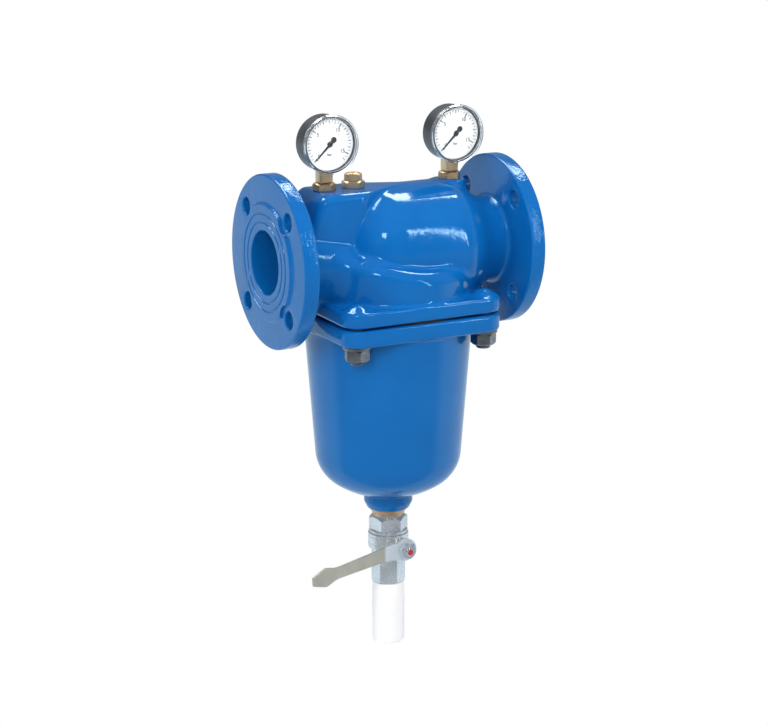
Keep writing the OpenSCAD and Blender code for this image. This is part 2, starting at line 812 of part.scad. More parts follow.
module at_gauge(i) translate([gauges[i][0], 0, pad_z]) rotate([0, 0, -gauges[i][1]]) children();

// Turns a shape made about Z to the gauge's own axis, with z = 0 on the stem axis
module at_dial() translate([0, 0, gauge_rise]) rotate([90, 0, 0]) children();

// Hex bush on a pad, with its thread below the pad
module bush() {
    difference() {
        union() {
            hex_blank(bush_af, bush_hex_h);
            translate([0, 0, -bush_thread_len]) cylinder(d = bush_thread_d, h = bush_thread_len + bite);
        }
        translate([0, 0, -bush_thread_len - bite])
            cylinder(d = socket_thread_d, h = bush_thread_len + bush_hex_h + 2 * bite);
    }
}

module gauge_socket() {
    neck_h = gauge_rise - case_r + case_wall;
    hole_d = 4;
    difference() {
        union() {
            translate([-socket_w / 2, -socket_w / 2, bush_hex_h])
                cube([socket_w, socket_w, neck_h - bush_hex_h]);
            translate([-socket_w / 2, -socket_w / 2 + bite, bush_hex_h])
                cube([socket_w, socket_w - 2 * bite, socket_top - bush_hex_h]);
            translate([0, 0, -bush_thread_len / 2])
                cylinder(d = socket_thread_d - 2 * seat_gap, h = bush_thread_len / 2 + bush_hex_h + bite);
        }
        translate([0, 0, -bush_thread_len]) cylinder(d = hole_d, h = bush_thread_len + socket_top - 2 * bite);
    }
}

module gauge_case() {
    depth = gauge_back + window_y - window_t - seat_gap;
    difference() {
        at_dial() translate([0, 0, -gauge_back]) rotate_extrude() difference() {
            union() {
                translate([0, case_round]) square([case_r, depth - case_round]);
                square([case_r - case_round, depth]);
                translate([case_r - case_round, case_round]) circle(case_round);
            }
            translate([0, case_wall]) square([case_r - case_round, depth]);
            translate([0, case_round]) square([case_in_r, depth]);
        }
        translate([-socket_w / 2 - seat_gap, -socket_w / 2 - seat_gap, 0])
            cube([socket_w + 2 * seat_gap, socket_w + 2 * seat_gap, gauge_rise - case_r / 2]);
    }
}

module gauge_dial() at_dial() translate([0, 0, dial_front - dial_t])
    ring(dial_r, axle_d / 2 + run_gap, dial_t);

// Plate that bears the needle's axle, standing on the socket and carrying the dial's two pillars
module gauge_movement() {
    pillar_d = 3;
    difference() {
        union() {
            at_dial() translate([-movement_w / 2, -movement_h / 2, movement_y - movement_t])
                cube([movement_w, movement_h, movement_t]);
            for (sx = [-1, 1]) at_dial() translate([sx * movement_w / 3, 0, movement_y - bite])
                cylinder(d = pillar_d, h = dial_front - dial_t - movement_y + bite - seat_gap);
        }
        at_dial() cylinder(d = axle_d + 2 * run_gap, h = dial_front);
    }
}

// Curved pressure tube that rises from the socket and bends round the movement, open on one side
module gauge_bourdon() {
    far = 2 * bourdon_out_r;
    free_from = 162;
    free_to = free_from + 360 - bourdon_sweep;
    plate_y = movement_y - movement_t - seat_gap - bourdon_d;
    at_dial() translate([0, 0, plate_y]) difference() {
        ring(bourdon_out_r, bourdon_r - bourdon_w / 2, bourdon_d);
        translate([0, 0, -bite]) linear_extrude(bourdon_d + 2 * bite) polygon([
            [0, 0], far * [cos(free_from), sin(free_from)],
            far * [cos((free_from + free_to) / 2), sin((free_from + free_to) / 2)],
            far * [cos(free_to), sin(free_to)]
        ]);
    }
    translate([-socket_w / 4, -plate_y - bourdon_d, socket_top]) cube([socket_w / 2, bourdon_d, bourdon_w]);
}

// Needle at zero, with its round tail, hub and axle
module gauge_needle() {
    zero = 225;
    hub_d = 6;
    tail_d = 6.2;
    tip_w = 3.4;
    root_w = 2.6;
    tip_len = 2;
    cap_h = 1.6;
    axle_y = movement_y - movement_t;
    tail_x = -needle_tail + tail_d / 2;
    at_dial() rotate([0, 0, zero]) {
        translate([0, 0, dial_front + needle_gap]) linear_extrude(needle_t) union() {
            polygon([
                [0, -root_w / 2], [needle_len - tip_len, -root_w / 5], [needle_len - tip_len, -tip_w / 2],
                [needle_len, 0], [needle_len - tip_len, tip_w / 2], [needle_len - tip_len, root_w / 5],
                [0, root_w / 2]
            ]);
            translate([tail_x, -root_w * 0.7]) square([-tail_x, root_w * 1.4]);
            translate([tail_x, 0]) circle(d = tail_d);
            circle(d = hub_d);
        }
        translate([0, 0, dial_front + needle_gap]) cylinder(d = hub_d * 0.7, h = cap_h);
        translate([0, 0, axle_y]) cylinder(d = axle_d, h = dial_front + needle_gap - axle_y);
    }
}

// Clear cap: flat window, soft front edge and a rim that laps over the case
module gauge_window() {
    soft_r = window_t / 2;
    skirt_y = window_y - window_t - window_lap;
    at_dial() rotate_extrude() difference() {
        union() {
            translate([0, skirt_y]) square([gauge_r, window_t + window_lap - soft_r]);
            translate([0, skirt_y]) square([gauge_r - soft_r, window_t + window_lap]);
            translate([gauge_r - soft_r, window_y - soft_r]) circle(soft_r);
        }
        translate([-bite, skirt_y - bite]) square([window_in_r + bite, window_lap + bite]);
    }
}

module inlet_gauge_bush() color([0.72, 0.55, 0.26]) at_gauge(0) rotate([0, 0, 8]) bush();
module inlet_gauge_socket() color([0.75, 0.58, 0.28]) at_gauge(0) gauge_socket();
module inlet_gauge_case() color([0.20, 0.21, 0.22]) at_gauge(0) gauge_case();
module inlet_gauge_dial() color([0.94, 0.95, 0.96]) at_gauge(0) gauge_dial();
module inlet_gauge_movement() color([0.78, 0.66, 0.38]) at_gauge(0) gauge_movement();
module inlet_gauge_bourdon() color([0.74, 0.56, 0.30]) at_gauge(0) gauge_bourdon();
module inlet_gauge_needle() color([0.06, 0.06, 0.07]) at_gauge(0) gauge_needle();
module inlet_gauge_window() color([0.85, 0.88, 0.90, 0.3]) at_gauge(0) gauge_window();
module outlet_gauge_bush() color([0.72, 0.55, 0.26]) at_gauge(1) rotate([0, 0, 20]) bush();
module outlet_gauge_socket() color([0.75, 0.58, 0.28]) at_gauge(1) gauge_socket();
module outlet_gauge_case() color([0.20, 0.21, 0.22]) at_gauge(1) gauge_case();
module outlet_gauge_dial() color([0.94, 0.95, 0.96]) at_gauge(1) gauge_dial();
module outlet_gauge_movement() color([0.78, 0.66, 0.38]) at_gauge(1) gauge_movement();
module outlet_gauge_bourdon() color([0.74, 0.56, 0.30]) at_gauge(1) gauge_bourdon();
module outlet_gauge_needle() color([0.06, 0.06, 0.07]) at_gauge(1) gauge_needle();
module outlet_gauge_window() color([0.85, 0.88, 0.90, 0.3]) at_gauge(1) gauge_window();

module plug_bush() color([0.72, 0.55, 0.26]) translate([plug_x, 0, pad_z]) bush();

// Hex plug with a dished head
module vent_plug() color([0.74, 0.57, 0.30]) translate([plug_x, 0, pad_z]) {
    dish_depth = 1.5;
    dish_d = plug_af * 0.7;
    difference() {
        translate([0, 0, bush_hex_h]) rotate([0, 0, 15]) hex_blank(plug_af, plug_h);
        translate([0, 0, bush_hex_h + plug_h - dish_depth]) cylinder(d = dish_d, h = dish_depth + bite);
    }
    translate([0, 0, -bush_thread_len / 2])
        cylinder(d = socket_thread_d - 2 * seat_gap, h = bush_thread_len / 2 + bush_hex_h + bite);
}

// Drain valve

module drain_bush() color([0.80, 0.60, 0.40]) on_axis() difference() {
    union() {
        translate([0, 0, bush_tip_z]) cylinder(d1 = drain_bush_tip_d, d2 = drain_bush_d, h = drain_bush_h);
        translate([0, 0, boss_z - bite]) cylinder(d = boss_bore_d - 2 * seat_gap, h = drain_bush_len + bite);
    }
    translate([0, 0, bush_tip_z - bite])
        cylinder(d = tail_thread_d + 2 * seat_gap, h = drain_bush_h + drain_bush_len + 2 * bite);
}

// Threaded hex end that closes the valve's body and holds the upper seat
module valve_tailpiece() color([0.70, 0.71, 0.72]) on_axis() difference() {
    union() {
        translate([0, 0, tail_hex_z - bite])
            cylinder(d = tail_thread_d, h = tail_thread_free + drain_bush_h + drain_bush_len + bite);
        translate([0, 0, valve_top_z + tail_collar_h]) rotate([0, 0, 12]) hex_blank(tail_hex_af, tail_hex_h);
        translate([0, 0, valve_top_z]) cylinder(d = valve_d - 2, h = tail_collar_h);
        translate([0, 0, valve_top_z - spigot_len]) cylinder(r = spigot_r - seat_gap, h = spigot_len + bite);
    }
    translate([0, 0, ball_z]) cylinder(d = ball_bore_d, h = boss_z + drain_bush_len + bite - ball_z);
    translate([0, 0, ball_z]) cylinder(r = seat_ring_r + seat_gap, h = seat_ring_far);
}

module valve_body() color([0.68, 0.69, 0.70]) difference() {
    union() {
        on_axis() rotate_extrude() polygon([
            [0, valve_top_z], [valve_d / 2, valve_top_z], [valve_d / 2, valve_taper_z],
            [valve_hex_af / 2, valve_hex_z], [valve_hex_af / 2, valve_hex_z - bite], [0, valve_hex_z - bite]
        ]);
        on_axis(valve_end_z) rotate([0, 0, 4]) hex_blank(valve_hex_af, valve_hex_h + bite);
        towards_front(ball_z) cylinder(d = stem_boss_d, h = stem_boss_reach);
    }
    on_axis() {
        translate([0, 0, valve_top_z - spigot_len]) cylinder(r = spigot_r, h = spigot_len + bite);
        translate([0, 0, ball_z - chamber_floor]) cylinder(r = chamber_r, h = ball_drop + chamber_floor);
        translate([0, 0, ball_z - seat_ring_far]) cylinder(r = seat_ring_r + seat_gap, h = seat_ring_far);
        translate([0, 0, valve_end_z]) cylinder(d = ball_bore_d, h = ball_z - valve_end_z);
        translate([0, 0, valve_end_z - bite])
            cylinder(d = tube_thread_d + 2 * seat_gap, h = tube_thread_len + 2 * bite);
    }
    towards_front(ball_z) cylinder(d = stem_d + 2 * run_gap, h = stem_boss_reach + bite);
    towards_front(ball_z) translate([0, 0, stem_boss_reach - packing_depth])
        cylinder(r = packing_r, h = packing_depth + bite);
}

// The two soft seats above and below the ball
module valve_seats() color([0.93, 0.93, 0.90]) for (up = [0, 1]) {
    on_axis(ball_z) mirror([0, 0, 1 - up]) difference() {
        translate([0, 0, seat_ring_near])
            cylinder(r = seat_ring_r, h = seat_ring_far - seat_ring_near - seat_gap);
        cylinder(d = ball_bore_d + 2 * slide_gap, h = seat_ring_far + bite);
        sphere(r = ball_r + run_gap);
    }
}

module stem_packing() color([0.90, 0.90, 0.86]) towards_front(ball_z)
    translate([0, 0, stem_boss_reach - packing_depth])
        ring(packing_r - seat_gap, stem_d / 2 + run_gap, packing_t);

module gland_nut() color([0.66, 0.68, 0.72]) towards_front(ball_z) difference() {
    union() {
        translate([0, 0, stem_boss_reach]) rotate([0, 0, 10]) hex_blank(gland_af, gland_h);
        translate([0, 0, stem_boss_reach - packing_depth + packing_t + seat_gap])
            cylinder(r = packing_r - seat_gap, h = packing_depth - packing_t + bite);
    }
    cylinder(d = stem_d + 2 * run_gap, h = lever_y + bite);
}

// Turns the ball, stem and lever to where they stand
module as_it_stands() on_axis(ball_z) rotate([0, -lever_rest, 0]) translate([-mid_x, 0, -ball_z]) children();

// Ball in its closed place: bore across the valve, slot for the stem's tang towards the front
module valve_ball() color([0.82, 0.83, 0.85]) as_it_stands() on_axis(ball_z) difference() {
    sphere(r = ball_r);
    rotate([0, 90, 0]) translate([0, 0, -ball_d]) cylinder(d = ball_bore_d, h = 2 * ball_d);
    translate([-tang_w / 2, -ball_r - bite, -ball_r]) cube([tang_w, tang_depth + bite, ball_d]);
}

module valve_stem() color([0.76, 0.77, 0.78]) as_it_stands() {
    tang_y = ball_r - tang_depth + seat_gap;
    towards_front(ball_z) translate([0, 0, chamber_r]) cylinder(d = stem_d, h = stem_reach - chamber_r);
    towards_front(ball_z) intersection() {
        translate([-tang_w / 2 + seat_gap, -stem_d / 2, tang_y])
            cube([tang_w - 2 * seat_gap, stem_d, chamber_r - tang_y + bite]);
        cylinder(d = stem_d, h = stem_reach);
    }
}

// Flat lever: hub plate, outward bend and a handle that narrows to a neck and flares to its tip
module lever() color([0.66, 0.66, 0.62]) as_it_stands() towards_front(ball_z) {
    neck_at = lever_len * 0.69;
    flare_at = lever_len * 0.83;
    tip_end_w = lever_tip_w / 2;
    difference() {
        union() {
            translate([0, 0, lever_y]) linear_extrude(lever_t) union() {
                circle(d = lever_hub_d);
                polygon([
                    [0, -lever_hub_d / 2], [0, lever_hub_d / 2],
                    [-lever_bend_reach, lever_root_w / 2], [-lever_bend_reach, -lever_root_w / 2]
                ]);
            }
            translate([-lever_bend_reach, 0, lever_y]) rotate([0, lever_bend, 0])
                linear_extrude(lever_t) polygon([
                    [0, -lever_root_w / 2], [0, lever_root_w / 2], [-neck_at, lever_neck_w / 2],
                    [-flare_at, lever_tip_w / 2], [-lever_len, tip_end_w / 2], [-lever_len, -tip_end_w / 2],
                    [-flare_at, -lever_tip_w / 2], [-neck_at, -lever_neck_w / 2]
                ]);
            translate([-lever_bend_reach, lever_root_w / 2, lever_y]) rotate([90, 0, 0]) intersection() {
                cylinder(r = lever_t, h = lever_root_w);
                translate([-lever_t, 0, 0]) cube([lever_t + bite, lever_t, lever_root_w]);
            }
        }
        cylinder(d = stem_d + 2 * seat_gap, h = stem_reach);
    }
}

module lever_nut() color([0.62, 0.66, 0.70]) as_it_stands() towards_front(ball_z) difference() {
    translate([0, 0, lever_nut_y]) rotate([0, 0, 14]) hex_blank(lever_nut_af, lever_nut_h);
    cylinder(d = stem_d + 2 * seat_gap, h = stem_reach);
}

module drain_tube() color([0.93, 0.93, 0.94]) on_axis() difference() {
    rotate_extrude() union() {
        translate([0, tube_end_z + tube_round]) square([tube_d / 2, tube_len - tube_round]);
        translate([0, tube_end_z]) square([tube_d / 2 - tube_round, tube_len]);
        translate([tube_d / 2 - tube_round, tube_end_z + tube_round]) circle(tube_round);
        translate([0, valve_end_z - bite]) square([tube_thread_d / 2, tube_thread_len + bite]);
    }
    translate([0, 0, tube_end_z - bite]) cylinder(d = tube_bore_d, h = tube_len - tube_thread_len + bite);
    translate([0, 0, tube_end_z]) cylinder(d = ball_bore_d, h = tube_len + tube_thread_len + bite);
}

// Filter insert

// Ring in the drain boss that guides the insert's spout and carries the spring
module drain_guide() color([0.88, 0.88, 0.84]) on_axis() difference() {
    union() {
        translate([0, 0, guide_seat_z]) cylinder(r = guide_flange_r, h = guide_flange_t);
        translate([0, 0, guide_seat_z]) cylinder(r = guide_r + guide_wall, h = guide_tube_z - guide_seat_z);
        translate([0, 0, boss_z + drain_bush_len + slide_gap])
            cylinder(d = boss_bore_d - 2 * seat_gap, h = guide_seat_z + bite - boss_z - drain_bush_len);
    }
    translate([0, 0, boss_z]) cylinder(r = guide_r, h = guide_tube_z + bite - boss_z);
}

// Point on the spring's wire at a share of its turns and an angle round the wire
function spring_point(s, side, rise) = let(
    turn = 360 * spring_turns * s,
    r = spring_d / 2 + spring_wire / 2 * cos(side)
) [r * cos(turn), r * sin(turn), rise * s + spring_wire / 2 * sin(side)];

module return_spring() color([0.62, 0.64, 0.66]) on_axis(guide_top_z + slide_gap + spring_wire / 2) {
    sides = 8;
    steps = ceil(spring_turns * 20);
    rise = spring_top_z - guide_top_z - slide_gap - spring_wire;
    polyhedron(
        points = [for (i = [0 : steps], k = [0 : sides - 1]) spring_point(i / steps, 360 * k / sides, rise)],
        faces = concat(
            [[for (k = [0 : sides - 1]) k]],
            [for (i = [0 : steps - 1], k = [0 : sides - 1]) let(n = (k + 1) % sides)
                [i * sides + k, (i + 1) * sides + k, (i + 1) * sides + n, i * sides + n]],
            [[for (k = [sides - 1 : -1 : 0]) steps * sides + k]]
        )
    );
}

// Heights of the two seal grooves in the piston
function groove_z(i) = lip_z + piston_h * (0.3 + 0.4 * i);

// Sliding piston with its lip, seal grooves and a spider that holds the impeller's shaft
module insert_head() color([0.90, 0.90, 0.87]) on_axis() {
    spoke_w = 5;
    inner = piston_r - piston_wall;
    difference() {
        union() {
            translate([0, 0, lip_z]) cylinder(r = piston_r, h = piston_h);
            translate([0, 0, piston_z]) cylinder(r = lip_r, h = piston_lip_t);
        }
        translate([0, 0, piston_z - bite]) cylinder(r = inner, h = piston_lip_t + piston_h + 2 * bite);
        for (i = [0, 1]) translate([0, 0, groove_z(i) - ring_wire / 2])
            ring(piston_r + bite, piston_r - ring_wire + slide_gap, ring_wire);
    }
    difference() {
        union() {
            for (a = [0 : 90 : 270]) rotate([0, 0, a]) translate([0, -spoke_w / 2, piston_z])
                cube([inner + bite, spoke_w, spider_h]);
            translate([0, 0, piston_z]) cylinder(d = piston_hub_d, h = spider_h);
        }
        translate([0, 0, piston_z - bite]) cylinder(d = shaft_d + 2 * seat_gap, h = spider_h + 2 * bite);
    }
}

module insert_seals() color([0.07, 0.07, 0.08]) for (i = [0, 1]) on_axis(groove_z(i)) {
    wire = ring_wire - 2 * seat_gap;
    rotate_extrude() translate([seat_r - run_gap - wire / 2, 0]) circle(d = wire);
}

// Closed screen cup on top of the piston
module upper_screen() color([0.70, 0.71, 0.72]) on_axis(piston_top_z) {
    rim_t = 2;
    difference() {
        cylinder(d = upper_screen_d, h = upper_screen_h);
        translate([0, 0, -bite])
            cylinder(r = upper_screen_d / 2 - screen_t, h = upper_screen_h + bite - rim_t);
    }
    ring(piston_r - slide_gap, upper_screen_d / 2 - screen_t, rim_t);
}

module main_screen() color([0.72, 0.73, 0.74]) on_axis(screen_z) ring(screen_r, cage_r, main_screen_len);

// Hoops and ribs that stiffen the main screen from inside
module screen_cage() color([0.86, 0.86, 0.82]) on_axis(screen_z) {
    hoop_h = 6;
    rib_depth = cage_t + 2;
    hoop_gap = (main_screen_len - hoop_h) / (cage_hoops - 1);
    outer = cage_r - seat_gap;
    for (i = [0 : cage_hoops - 1]) translate([0, 0, i * hoop_gap]) ring(outer, outer - cage_t, hoop_h);
    intersection() {
        for (a = [0 : 360 / cage_ribs : 359]) rotate([0, 0, a])
            translate([outer - rib_depth, -cage_t / 2, 0]) cube([rib_depth, cage_t, main_screen_len]);
        cylinder(r = outer, h = main_screen_len);
    }
}

// Base that closes the screen, with a spout that slides in the drain guide
module insert_base() color([0.90, 0.90, 0.87]) on_axis() difference() {
    union() {
        translate([0, 0, base_z]) cylinder(r = lip_r, h = base_t);
        translate([0, 0, spout_z]) cylinder(r = spout_r, h = base_z - spout_z + bite);
    }
    translate([0, 0, spout_z - bite])
        cylinder(r = spout_r - guide_wall, h = base_z + base_t - spout_z + 2 * bite);
}

// Pin that hangs from the spider, with a head that carries the impeller
module impeller_shaft() color([0.75, 0.76, 0.78]) on_axis(shaft_end_z) {
    head_h = 3;
    head_d = shaft_d + 4;
    cylinder(d = shaft_d, h = piston_z + spider_h - shaft_end_z);
    translate([0, 0, -head_h]) cylinder(d = head_d, h = head_h);
}

// Spinning spray wheel with curved blades
module impeller() color([0.20, 0.42, 0.66]) on_axis(impeller_z) difference() {
    hub_r = shaft_d / 2 + 5;
    tip_r = impeller_d / 2;
    blade_r = tip_r * 0.6;
    blade_t = 2;
    union() {
        cylinder(r = hub_r, h = impeller_h);
        for (a = [0 : 360 / impeller_blades : 359]) rotate([0, 0, a]) intersection() {
            translate([tip_r / 2, blade_r * 0.8, 0]) ring(blade_r, blade_r - blade_t, impeller_h);
            translate([0, -tip_r, 0]) cube([tip_r, tip_r + 2, impeller_h]);
            cylinder(r = tip_r, h = impeller_h);
        }
    }
    translate([0, 0, -bite]) cylinder(d = shaft_d + 2 * run_gap, h = impeller_h + 2 * bite);
}

housing();
bowl();
bowl_seal();
bowl_studs();
bowl_washers();
bowl_nuts();
inlet_gauge_bush();
inlet_gauge_socket();
inlet_gauge_case();
inlet_gauge_dial();
inlet_gauge_movement();
inlet_gauge_bourdon();
inlet_gauge_needle();
inlet_gauge_window();
outlet_gauge_bush();
outlet_gauge_socket();
outlet_gauge_case();
outlet_gauge_dial();
outlet_gauge_movement();
outlet_gauge_bourdon();
outlet_gauge_needle();
outlet_gauge_window();
plug_bush();
vent_plug();
drain_bush();
valve_tailpiece();
valve_body();
valve_seats();
stem_packing();
gland_nut();
valve_ball();
valve_stem();
lever();
lever_nut();
drain_tube();
drain_guide();
return_spring();
insert_head();
insert_seals();
upper_screen();
main_screen();
screen_cage();
insert_base();
impeller_shaft();
impeller();
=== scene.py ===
"""Looks of a flanged self cleaning water filter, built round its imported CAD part.

Lengths inside the classes are millimetres from the point where the pipe axis meets the bowl
axis, with X along the flow, Z up and the dials towards -Y. Shape.build() turns them into the
metres of the shared frame.
"""

import logging
import math
from collections.abc import Callable, Sequence
from dataclasses import dataclass
from enum import Enum
from functools import reduce
from typing import Any, ClassVar

import bpy
import numpy as np
from mathutils import Matrix, Vector


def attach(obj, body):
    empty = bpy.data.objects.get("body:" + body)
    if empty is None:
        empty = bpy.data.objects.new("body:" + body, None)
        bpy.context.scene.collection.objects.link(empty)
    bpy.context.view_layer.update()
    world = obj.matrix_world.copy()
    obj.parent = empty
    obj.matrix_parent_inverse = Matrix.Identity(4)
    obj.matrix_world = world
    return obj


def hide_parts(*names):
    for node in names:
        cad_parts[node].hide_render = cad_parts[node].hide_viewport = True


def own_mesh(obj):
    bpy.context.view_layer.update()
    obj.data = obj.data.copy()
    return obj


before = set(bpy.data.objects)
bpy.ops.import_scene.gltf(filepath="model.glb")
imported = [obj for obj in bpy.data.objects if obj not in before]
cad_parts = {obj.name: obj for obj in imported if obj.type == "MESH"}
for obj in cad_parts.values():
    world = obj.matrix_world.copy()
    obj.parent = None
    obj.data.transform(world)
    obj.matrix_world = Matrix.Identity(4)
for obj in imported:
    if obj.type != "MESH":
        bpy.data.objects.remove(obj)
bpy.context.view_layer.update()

LOG = logging.getLogger("filter")
MM = 0.001
MID_X = 145.0
PAD_Z = 71.0
STUD = 75.52
NOISE_RANGE = (0.3, 0.7)
SOFT_DEPTH = (0.004, 0.004, 0.004)
Profile = list[tuple[float, float]]
Corner = tuple[float, float, float]
Colour = tuple[float, float, float]
Point = tuple[float, float, float]


class Body(str, Enum):
    """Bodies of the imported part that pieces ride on."""

    FILTER = "filter"
    LEVER = "drain_lever"
    INLET_NEEDLE = "inlet_needle"
    OUTLET_NEEDLE = "outlet_needle"


class Grain(Enum):
    """Lines to a metre across X, Y and Z that a tool leaves."""

    NONE = ()
    ROUND_Z = (0.0, 0.0, 2200.0)
    ALONG_X = (25.0, 900.0, 2600.0)


class Step(Enum):
    """Ways to combine one closed shape with another."""

    ADD = "UNION"
    CUT = "DIFFERENCE"


# Shapes


@dataclass
class Shape:
    """Points in millimetres and the faces between them."""

    points: np.ndarray
    faces: list

    def turned(self, matrix: Matrix) -> "Shape":
        """Gives the shape after a turn and a move, with its lengths in millimetres."""
        m = np.array(matrix)
        return Shape(self.points @ m[:3, :3].T + m[:3, 3], self.faces)

    def moved(self, x: float = 0.0, y: float = 0.0, z: float = 0.0) -> "Shape":
        """Gives the shape after a move."""
        return Shape(self.points + np.array((x, y, z)), self.faces)

    def build(self, name: str, sharp: float = 30.0) -> bpy.types.Object:
        """Makes a smooth shaded Blender object of the shape, in the shared frame.

        Args:
            name: Name of the object.
            sharp: Angle in degrees from which an edge shows as sharp.

        Returns:
            The new object, linked to the scene.
        """
        mesh = bpy.data.meshes.new(name)
        placed = (self.points + np.array((MID_X, 0.0, 0.0))) * MM
        mesh.from_pydata(placed.tolist(), [], self.faces)
        mesh.validate()
        obj = bpy.data.objects.new(name, mesh)
        bpy.context.scene.collection.objects.link(obj)
        shade(obj, sharp)
        return obj


def shade(obj: bpy.types.Object, sharp: float) -> None:
    """Shades an object smooth, with its edges from an angle in degrees sharp."""
    obj.data.shade_smooth()
    obj.data.set_sharp_from_angle(angle=math.radians(sharp))


def joined(*shapes: Shape) -> Shape:
    """Puts several shapes into one.

    Args:
        shapes: Shapes to join, left as they are.

    Returns:
        One shape with all the points and faces.
    """
    faces: list = []
    start = 0
    for shape in shapes:
        faces.extend(tuple(i + start for i in f) for f in shape.faces)
        start += len(shape.points)
    return Shape(np.concatenate([shape.points for shape in shapes]), faces)


def circle(count: int) -> np.ndarray:
    """Gives equal angles round a full turn, in radians."""
    return np.linspace(0, 2 * np.pi, count, endpoint=False)


def ring(radius: np.ndarray | float, angle: np.ndarray, z: np.ndarray | float) -> np.ndarray:
    """Places points round Z.

    Args:
        radius: Distance from the axis, for all the points or for each.
        angle: Angle of each point in radians.
        z: Height, for all the points or for each.

    Returns:
        One row per point.
    """
    r, height = np.broadcast_to(radius, angle.shape), np.broadcast_to(z, angle.shape)
    return np.stack([r * np.cos(angle), r * np.sin(angle), height], 1)


def square_ring(half: float, corner: float, z: float, steps: int) -> np.ndarray:
    """Places points round a square with round corners.

    Args:
        half: Half of the width across the flats.
        corner: Radius of the corners.
        z: Height of the ring.
        steps: Number of points on each corner.

    Returns:
        One row per point.
    """
    angle = np.radians(np.concatenate([np.linspace(q, q + 90, steps) for q in (0, 90, 180, 270)]))
    x = np.repeat((1, -1, -1, 1), steps) * (half - corner) + corner * np.cos(angle)
    y = np.repeat((1, 1, -1, -1), steps) * (half - corner) + corner * np.sin(angle)
    return np.stack([x, y, np.full(len(angle), z)], 1)


def rounded(corners: Sequence[Corner], steps: int) -> Profile:
    """Draws a line through corners, each with its own rounding.

    Args:
        corners: Place across, place along and radius of each corner.
        steps: Number of points on a rounded corner, less one.

    Returns:
        Points of the line.
    """
    line: Profile = [corners[0][:2]]
    for before, here, after in zip(corners, corners[1:], corners[2:]):
        p = np.array(here[:2])
        u, v = np.array(before[:2]) - p, np.array(after[:2]) - p
        lu, lv = np.linalg.norm(u), np.linalg.norm(v)
        u, v = u / lu, v / lv
        half = math.acos(float(np.clip(u @ v, -1, 1))) / 2
        if here[2] <= 0 or half > math.pi / 2 - 0.02:
            line.append((float(p[0]), float(p[1])))
            continue
        reach = min(here[2] / math.tan(half), 0.49 * lu, 0.49 * lv)
        radius = reach * math.tan(half)
        centre = p + (u + v) / np.linalg.norm(u + v) * radius / math.sin(half)
        a, b = p + u * reach - centre, p + v * reach - centre
        turn = math.atan2(a[0] * b[1] - a[1] * b[0], float(a @ b))
        for i in range(steps + 1):
            c, s = math.cos(turn * i / steps), math.sin(turn * i / steps)
            line.append((float(centre[0] + c * a[0] - s * a[1]), float(centre[1] + s * a[0] + c * a[1])))
    line.append(corners[-1][:2])
    return line


def loft(rings: Sequence[np.ndarray], caps: bool = True) -> Shape:
    """Joins rings of equally many points by four sided faces.

    Args:
        rings: Rings in order, each with one row per point.
        caps: Whether the first and the last ring are closed by a face.

    Returns:
        The lofted shape.
    """
    n = len(rings[0])
    faces: list = []
    for i in range(len(rings) - 1):
        a, b = i * n, (i + 1) * n
        faces.extend((a + k, a + (k + 1) % n, b + (k + 1) % n, b + k) for k in range(n))
    if caps:
        faces.append(tuple(range(n - 1, -1, -1)))
        faces.append(tuple(range((len(rings) - 1) * n, len(rings) * n)))
    return Shape(np.concatenate(rings), faces)


def revolve(profile: Profile, segments: int, closed: bool = False) -> Shape:
    """Turns a profile about Z.

    Args:
        profile: Radius and height of each point, inside to the left of its direction.
        segments: Number of steps round the axis.
        closed: Whether the profile's end joins its start.

    Returns:
        The turned shape.
    """
    angle = circle(segments)
    points: list = []
    first: list = []
    for r, z in profile:
        pole = r < 1e-6
        first.append((len(points), pole))
        points.extend([(0.0, 0.0, z)] if pole else ring(r, angle, z).tolist())
    pairs = list(zip(first, first[1:]))
    if closed:
        pairs.append((first[-1], first[0]))
    faces: list = []
    for (a, pole_a), (b, pole_b) in pairs:
        if pole_a and pole_b:
            continue
        for k in range(segments):
            n = (k + 1) % segments
            if pole_a:
                faces.append((a, b + n, b + k))
            elif pole_b:
                faces.append((a + k, a + n, b))
            else:
                faces.append((a + k, a + n, b + n, b + k))
    return Shape(np.array(points, float), faces)


def lathe(corners: Sequence[Corner], steps: int, segments: int, closed: bool = False) -> Shape:
    """Turns a line with rounded corners about Z, as rounded() and revolve() say."""
    return revolve(rounded(corners, steps), segments, closed)


def hex_bar(
    af: float, low: float, high: float, cut_low: float = 0.0, cut_high: float = 0.0, bore: float = 0.0,
    turn: float = 0.0, dish: float = 0.0,
) -> Shape:
    """Makes a hexagon bar with slightly rounded corners, turned off at its ends.

    Args:
        af: Width across the flats.
        low: Height of the lower end.
        high: Height of the upper end.
        cut_low: How far the lower corners are turned down.
        cut_high: How far the upper corners are turned down.
        bore: Radius of a hole through the bar, or 0 for none.
        turn: Turn about the axis in degrees.
        dish: Depth of a round dish in the upper end.

    Returns:
        The bar as a shape.
    """
    crisp, soft = 60.0, 0.25
    angle = circle(120)
    turned = angle - math.radians(turn)
    total = sum(np.maximum(0, np.cos(turned - i * math.pi / 3)) ** crisp for i in range(6))
    r = af / 2 / total ** (1 / crisp)
    flat = af / 2 * 0.97
    corner = af / 2 / math.cos(math.pi / 6)
    share = np.clip((r - flat) / (corner - flat), 0, 1)
    inner = max(bore, 0.01)
    stations = [
        (inner, low), (flat - soft if cut_low else r - soft, low), (r, low + soft * 0.6 + share * cut_low),
        (r, high - soft * 0.6 - share * cut_high), (flat - soft if cut_high else r - soft, high),
    ]
    if dish > 0:
        stations += [(flat * 0.80, high), (flat * 0.74, high - dish * 0.7), (flat * 0.66, high - dish)]
    stations.append((inner, high - dish))
    if bore > 0:
        stations.append(stations[0])
    return loft([ring(radius, angle, z) for radius, z in stations], caps=bore <= 0)


